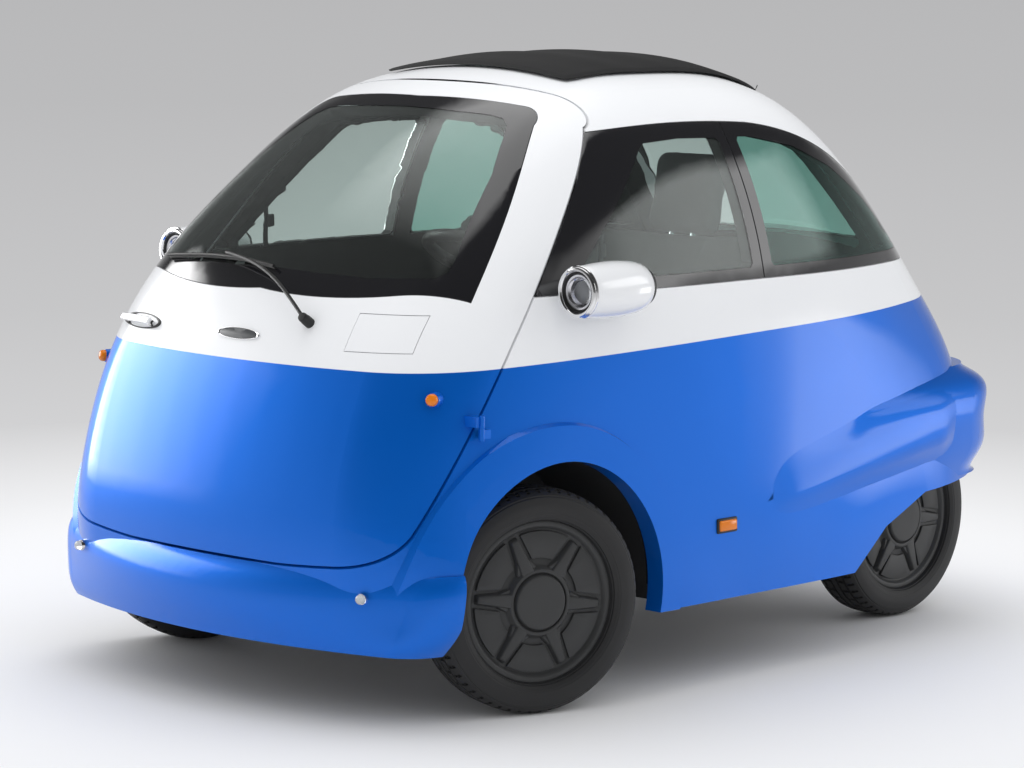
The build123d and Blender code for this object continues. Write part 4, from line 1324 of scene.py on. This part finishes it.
class MICROCAR_OT_stage(bpy.types.Operator):
    """Build the floor, lamps and camera"""

    bl_idname = "microcar.stage"
    bl_label = "Stage"

    def light_the_room(self, scene, surround):
        """Soft light from all round, stronger from behind and above; reflections see a darker room."""
        world = bpy.data.worlds.new("studio")
        scene.world = world
        world.use_nodes = True
        room = Nodes(world.node_tree)
        coords = room.node("ShaderNodeTexCoord").outputs["Generated"]
        level = {}
        for label, way in (("far", FAR_SIDE), ("lens", LENS_SIDE), ("up", (0, 0, 1))):
            along = room.node("ShaderNodeVectorMath", operation="DOT_PRODUCT")
            room.join(coords, along.inputs[0])
            along.inputs[1].default_value = way
            level[label] = along.outputs["Value"]
        soft = room.math("MULTIPLY_ADD", level["far"], 0.3 * surround, 0.85 * surround)
        low = room.ramp(level["up"], 0.4, 0.05)
        away = room.math("MULTIPLY_ADD", room.ramp(level["lens"], 0.95, 0.1), 0.75, 0.25)
        shown = room.math("MULTIPLY", room.math("MULTIPLY_ADD", low, 0.405, 0.07), away)
        path = room.node("ShaderNodeLightPath")
        seen = room.math("MAXIMUM", path.outputs["Is Camera Ray"], path.outputs["Is Transmission Ray"])
        parts = []
        for share, colour, strength in (
            (path.outputs["Is Glossy Ray"], (1, 1, 1.01, 1), shown),
            (seen, BACKDROP, 1.0),
        ):
            part = room.node("ShaderNodeBackground")
            part.inputs["Color"].default_value = colour
            if hasattr(strength, "is_output"):
                room.join(strength, part.inputs["Strength"])
            parts.append((share, part.outputs[0]))
        base = world.node_tree.nodes["Background"]
        base.inputs["Color"].default_value = (0.99, 0.995, 1.0, 1)
        room.join(soft, base.inputs["Strength"])
        made = base.outputs[0]
        for share, part in parts:
            mixed = room.node("ShaderNodeMixShader")
            room.join(share, mixed.inputs[0])
            room.join(made, mixed.inputs[1])
            room.join(part, mixed.inputs[2])
            made = mixed.outputs[0]
        room.join(made, world.node_tree.nodes["World Output"].inputs["Surface"])

    def execute(self, context):
        scene = context.scene
        settings = scene.microcar_stage
        scene.view_settings.view_transform = "Standard"

        alone()
        bpy.ops.mesh.primitive_plane_add(size=FLOOR_SIZE)
        floor = context.object
        floor.name = "studio_floor"
        floor.data.materials.append(studio_floor_material(settings.floor_shade))

        self.light_the_room(scene, settings.surround)
        for row in LAMPS:
            self.hang_lamp(scene, *row)
        self.place_camera(scene, settings.lens)
        return {"FINISHED"}

    def hang_lamp(self, scene, name, place, aim, width, height, power, rise, fall, reflected):
        """One soft lamp whose light fades towards its edges."""
        lamp = bpy.data.lights.new(name, "AREA")
        lamp.shape = "RECTANGLE"
        lamp.size, lamp.size_y, lamp.energy = width, height, power
        lamp.use_nodes = True
        glow = Nodes(lamp.node_tree)
        across = glow.node("ShaderNodeSeparateXYZ")
        glow.join(glow.node("ShaderNodeNewGeometry").outputs["Parametric"], across.inputs[0])
        level = glow.ramp(across.outputs[0], 0.0, rise)
        for number, start, full in ((0, 1.0, 1.0 - fall), (1, 0.0, LAMP_EDGE), (1, 1.0, 1.0 - LAMP_EDGE)):
            level = glow.math("MULTIPLY", level, glow.ramp(across.outputs[number], start, full))
        glow.join(level, lamp.node_tree.nodes["Emission"].inputs["Strength"])
        holder = bpy.data.objects.new(name, lamp)
        holder.location = place
        holder.rotation_euler = (Vector(aim) - Vector(place)).to_track_quat("-Z", "Y").to_euler()
        holder.visible_camera = False
        holder.visible_diffuse = not reflected
        scene.collection.objects.link(holder)

    def place_camera(self, scene, lens):
        """The camera, aimed by its angles round the car."""
        camera = bpy.data.cameras.new("camera")
        camera.lens = lens
        camera.sensor_width = 36
        camera.clip_end = FLOOR_SIZE
        holder = bpy.data.objects.new("camera", camera)
        scene.collection.objects.link(holder)
        azimuth, elevation, roll = (math.radians(angle) for angle in CAMERA_ANGLES)
        level = math.cos(elevation)
        back = Vector((math.sin(azimuth) * level, -math.cos(azimuth) * level, math.sin(elevation)))
        right = Vector((math.cos(azimuth), math.sin(azimuth), 0))
        turned = Matrix.Rotation(roll, 3, back)
        right = turned @ right
        up = back.cross(right)
        basis = Matrix((right, up, back)).transposed()
        holder.matrix_world = Matrix.Translation(CAMERA_PLACE) @ basis.to_4x4()
        scene.camera = holder


class MICROCAR_PT_panel(bpy.types.Panel):
    """Shows the microcar's settings and a button for each building step"""

    bl_label = "Microcar"
    bl_idname = "MICROCAR_PT_panel"
    bl_space_type = "VIEW_3D"
    bl_region_type = "UI"
    bl_category = "Microcar"

    def draw(self, context):
        scene = context.scene
        for group in (scene.microcar_paint, scene.microcar_stage):
            for key in group.__annotations__:
                self.layout.prop(group, key)
        for operator in OPERATORS:
            self.layout.operator(operator.bl_idname)


OPERATORS = (
    MICROCAR_OT_stage, MICROCAR_OT_finishes, MICROCAR_OT_wheels, MICROCAR_OT_glazing, MICROCAR_OT_pods,
    MICROCAR_OT_lamps, MICROCAR_OT_door_fittings, MICROCAR_OT_flanks, MICROCAR_OT_cabin, MICROCAR_OT_seats,
    MICROCAR_OT_roof,
)
SETTINGS = (("microcar_paint", PaintSettings), ("microcar_stage", StageSettings))


def register():
    for name, group in SETTINGS:
        bpy.utils.register_class(group)
        setattr(bpy.types.Scene, name, bpy.props.PointerProperty(type=group))
    for operator in OPERATORS:
        bpy.utils.register_class(operator)
    bpy.utils.register_class(MICROCAR_PT_panel)


def unregister():
    bpy.utils.unregister_class(MICROCAR_PT_panel)
    for operator in reversed(OPERATORS):
        bpy.utils.unregister_class(operator)
    for name, group in SETTINGS:
        delattr(bpy.types.Scene, name)
        bpy.utils.unregister_class(group)


def main():
    register()
    for operator in OPERATORS:
        group, name = operator.bl_idname.split(".")
        getattr(getattr(bpy.ops, group), name)()


if __name__ == "__main__":
    main()
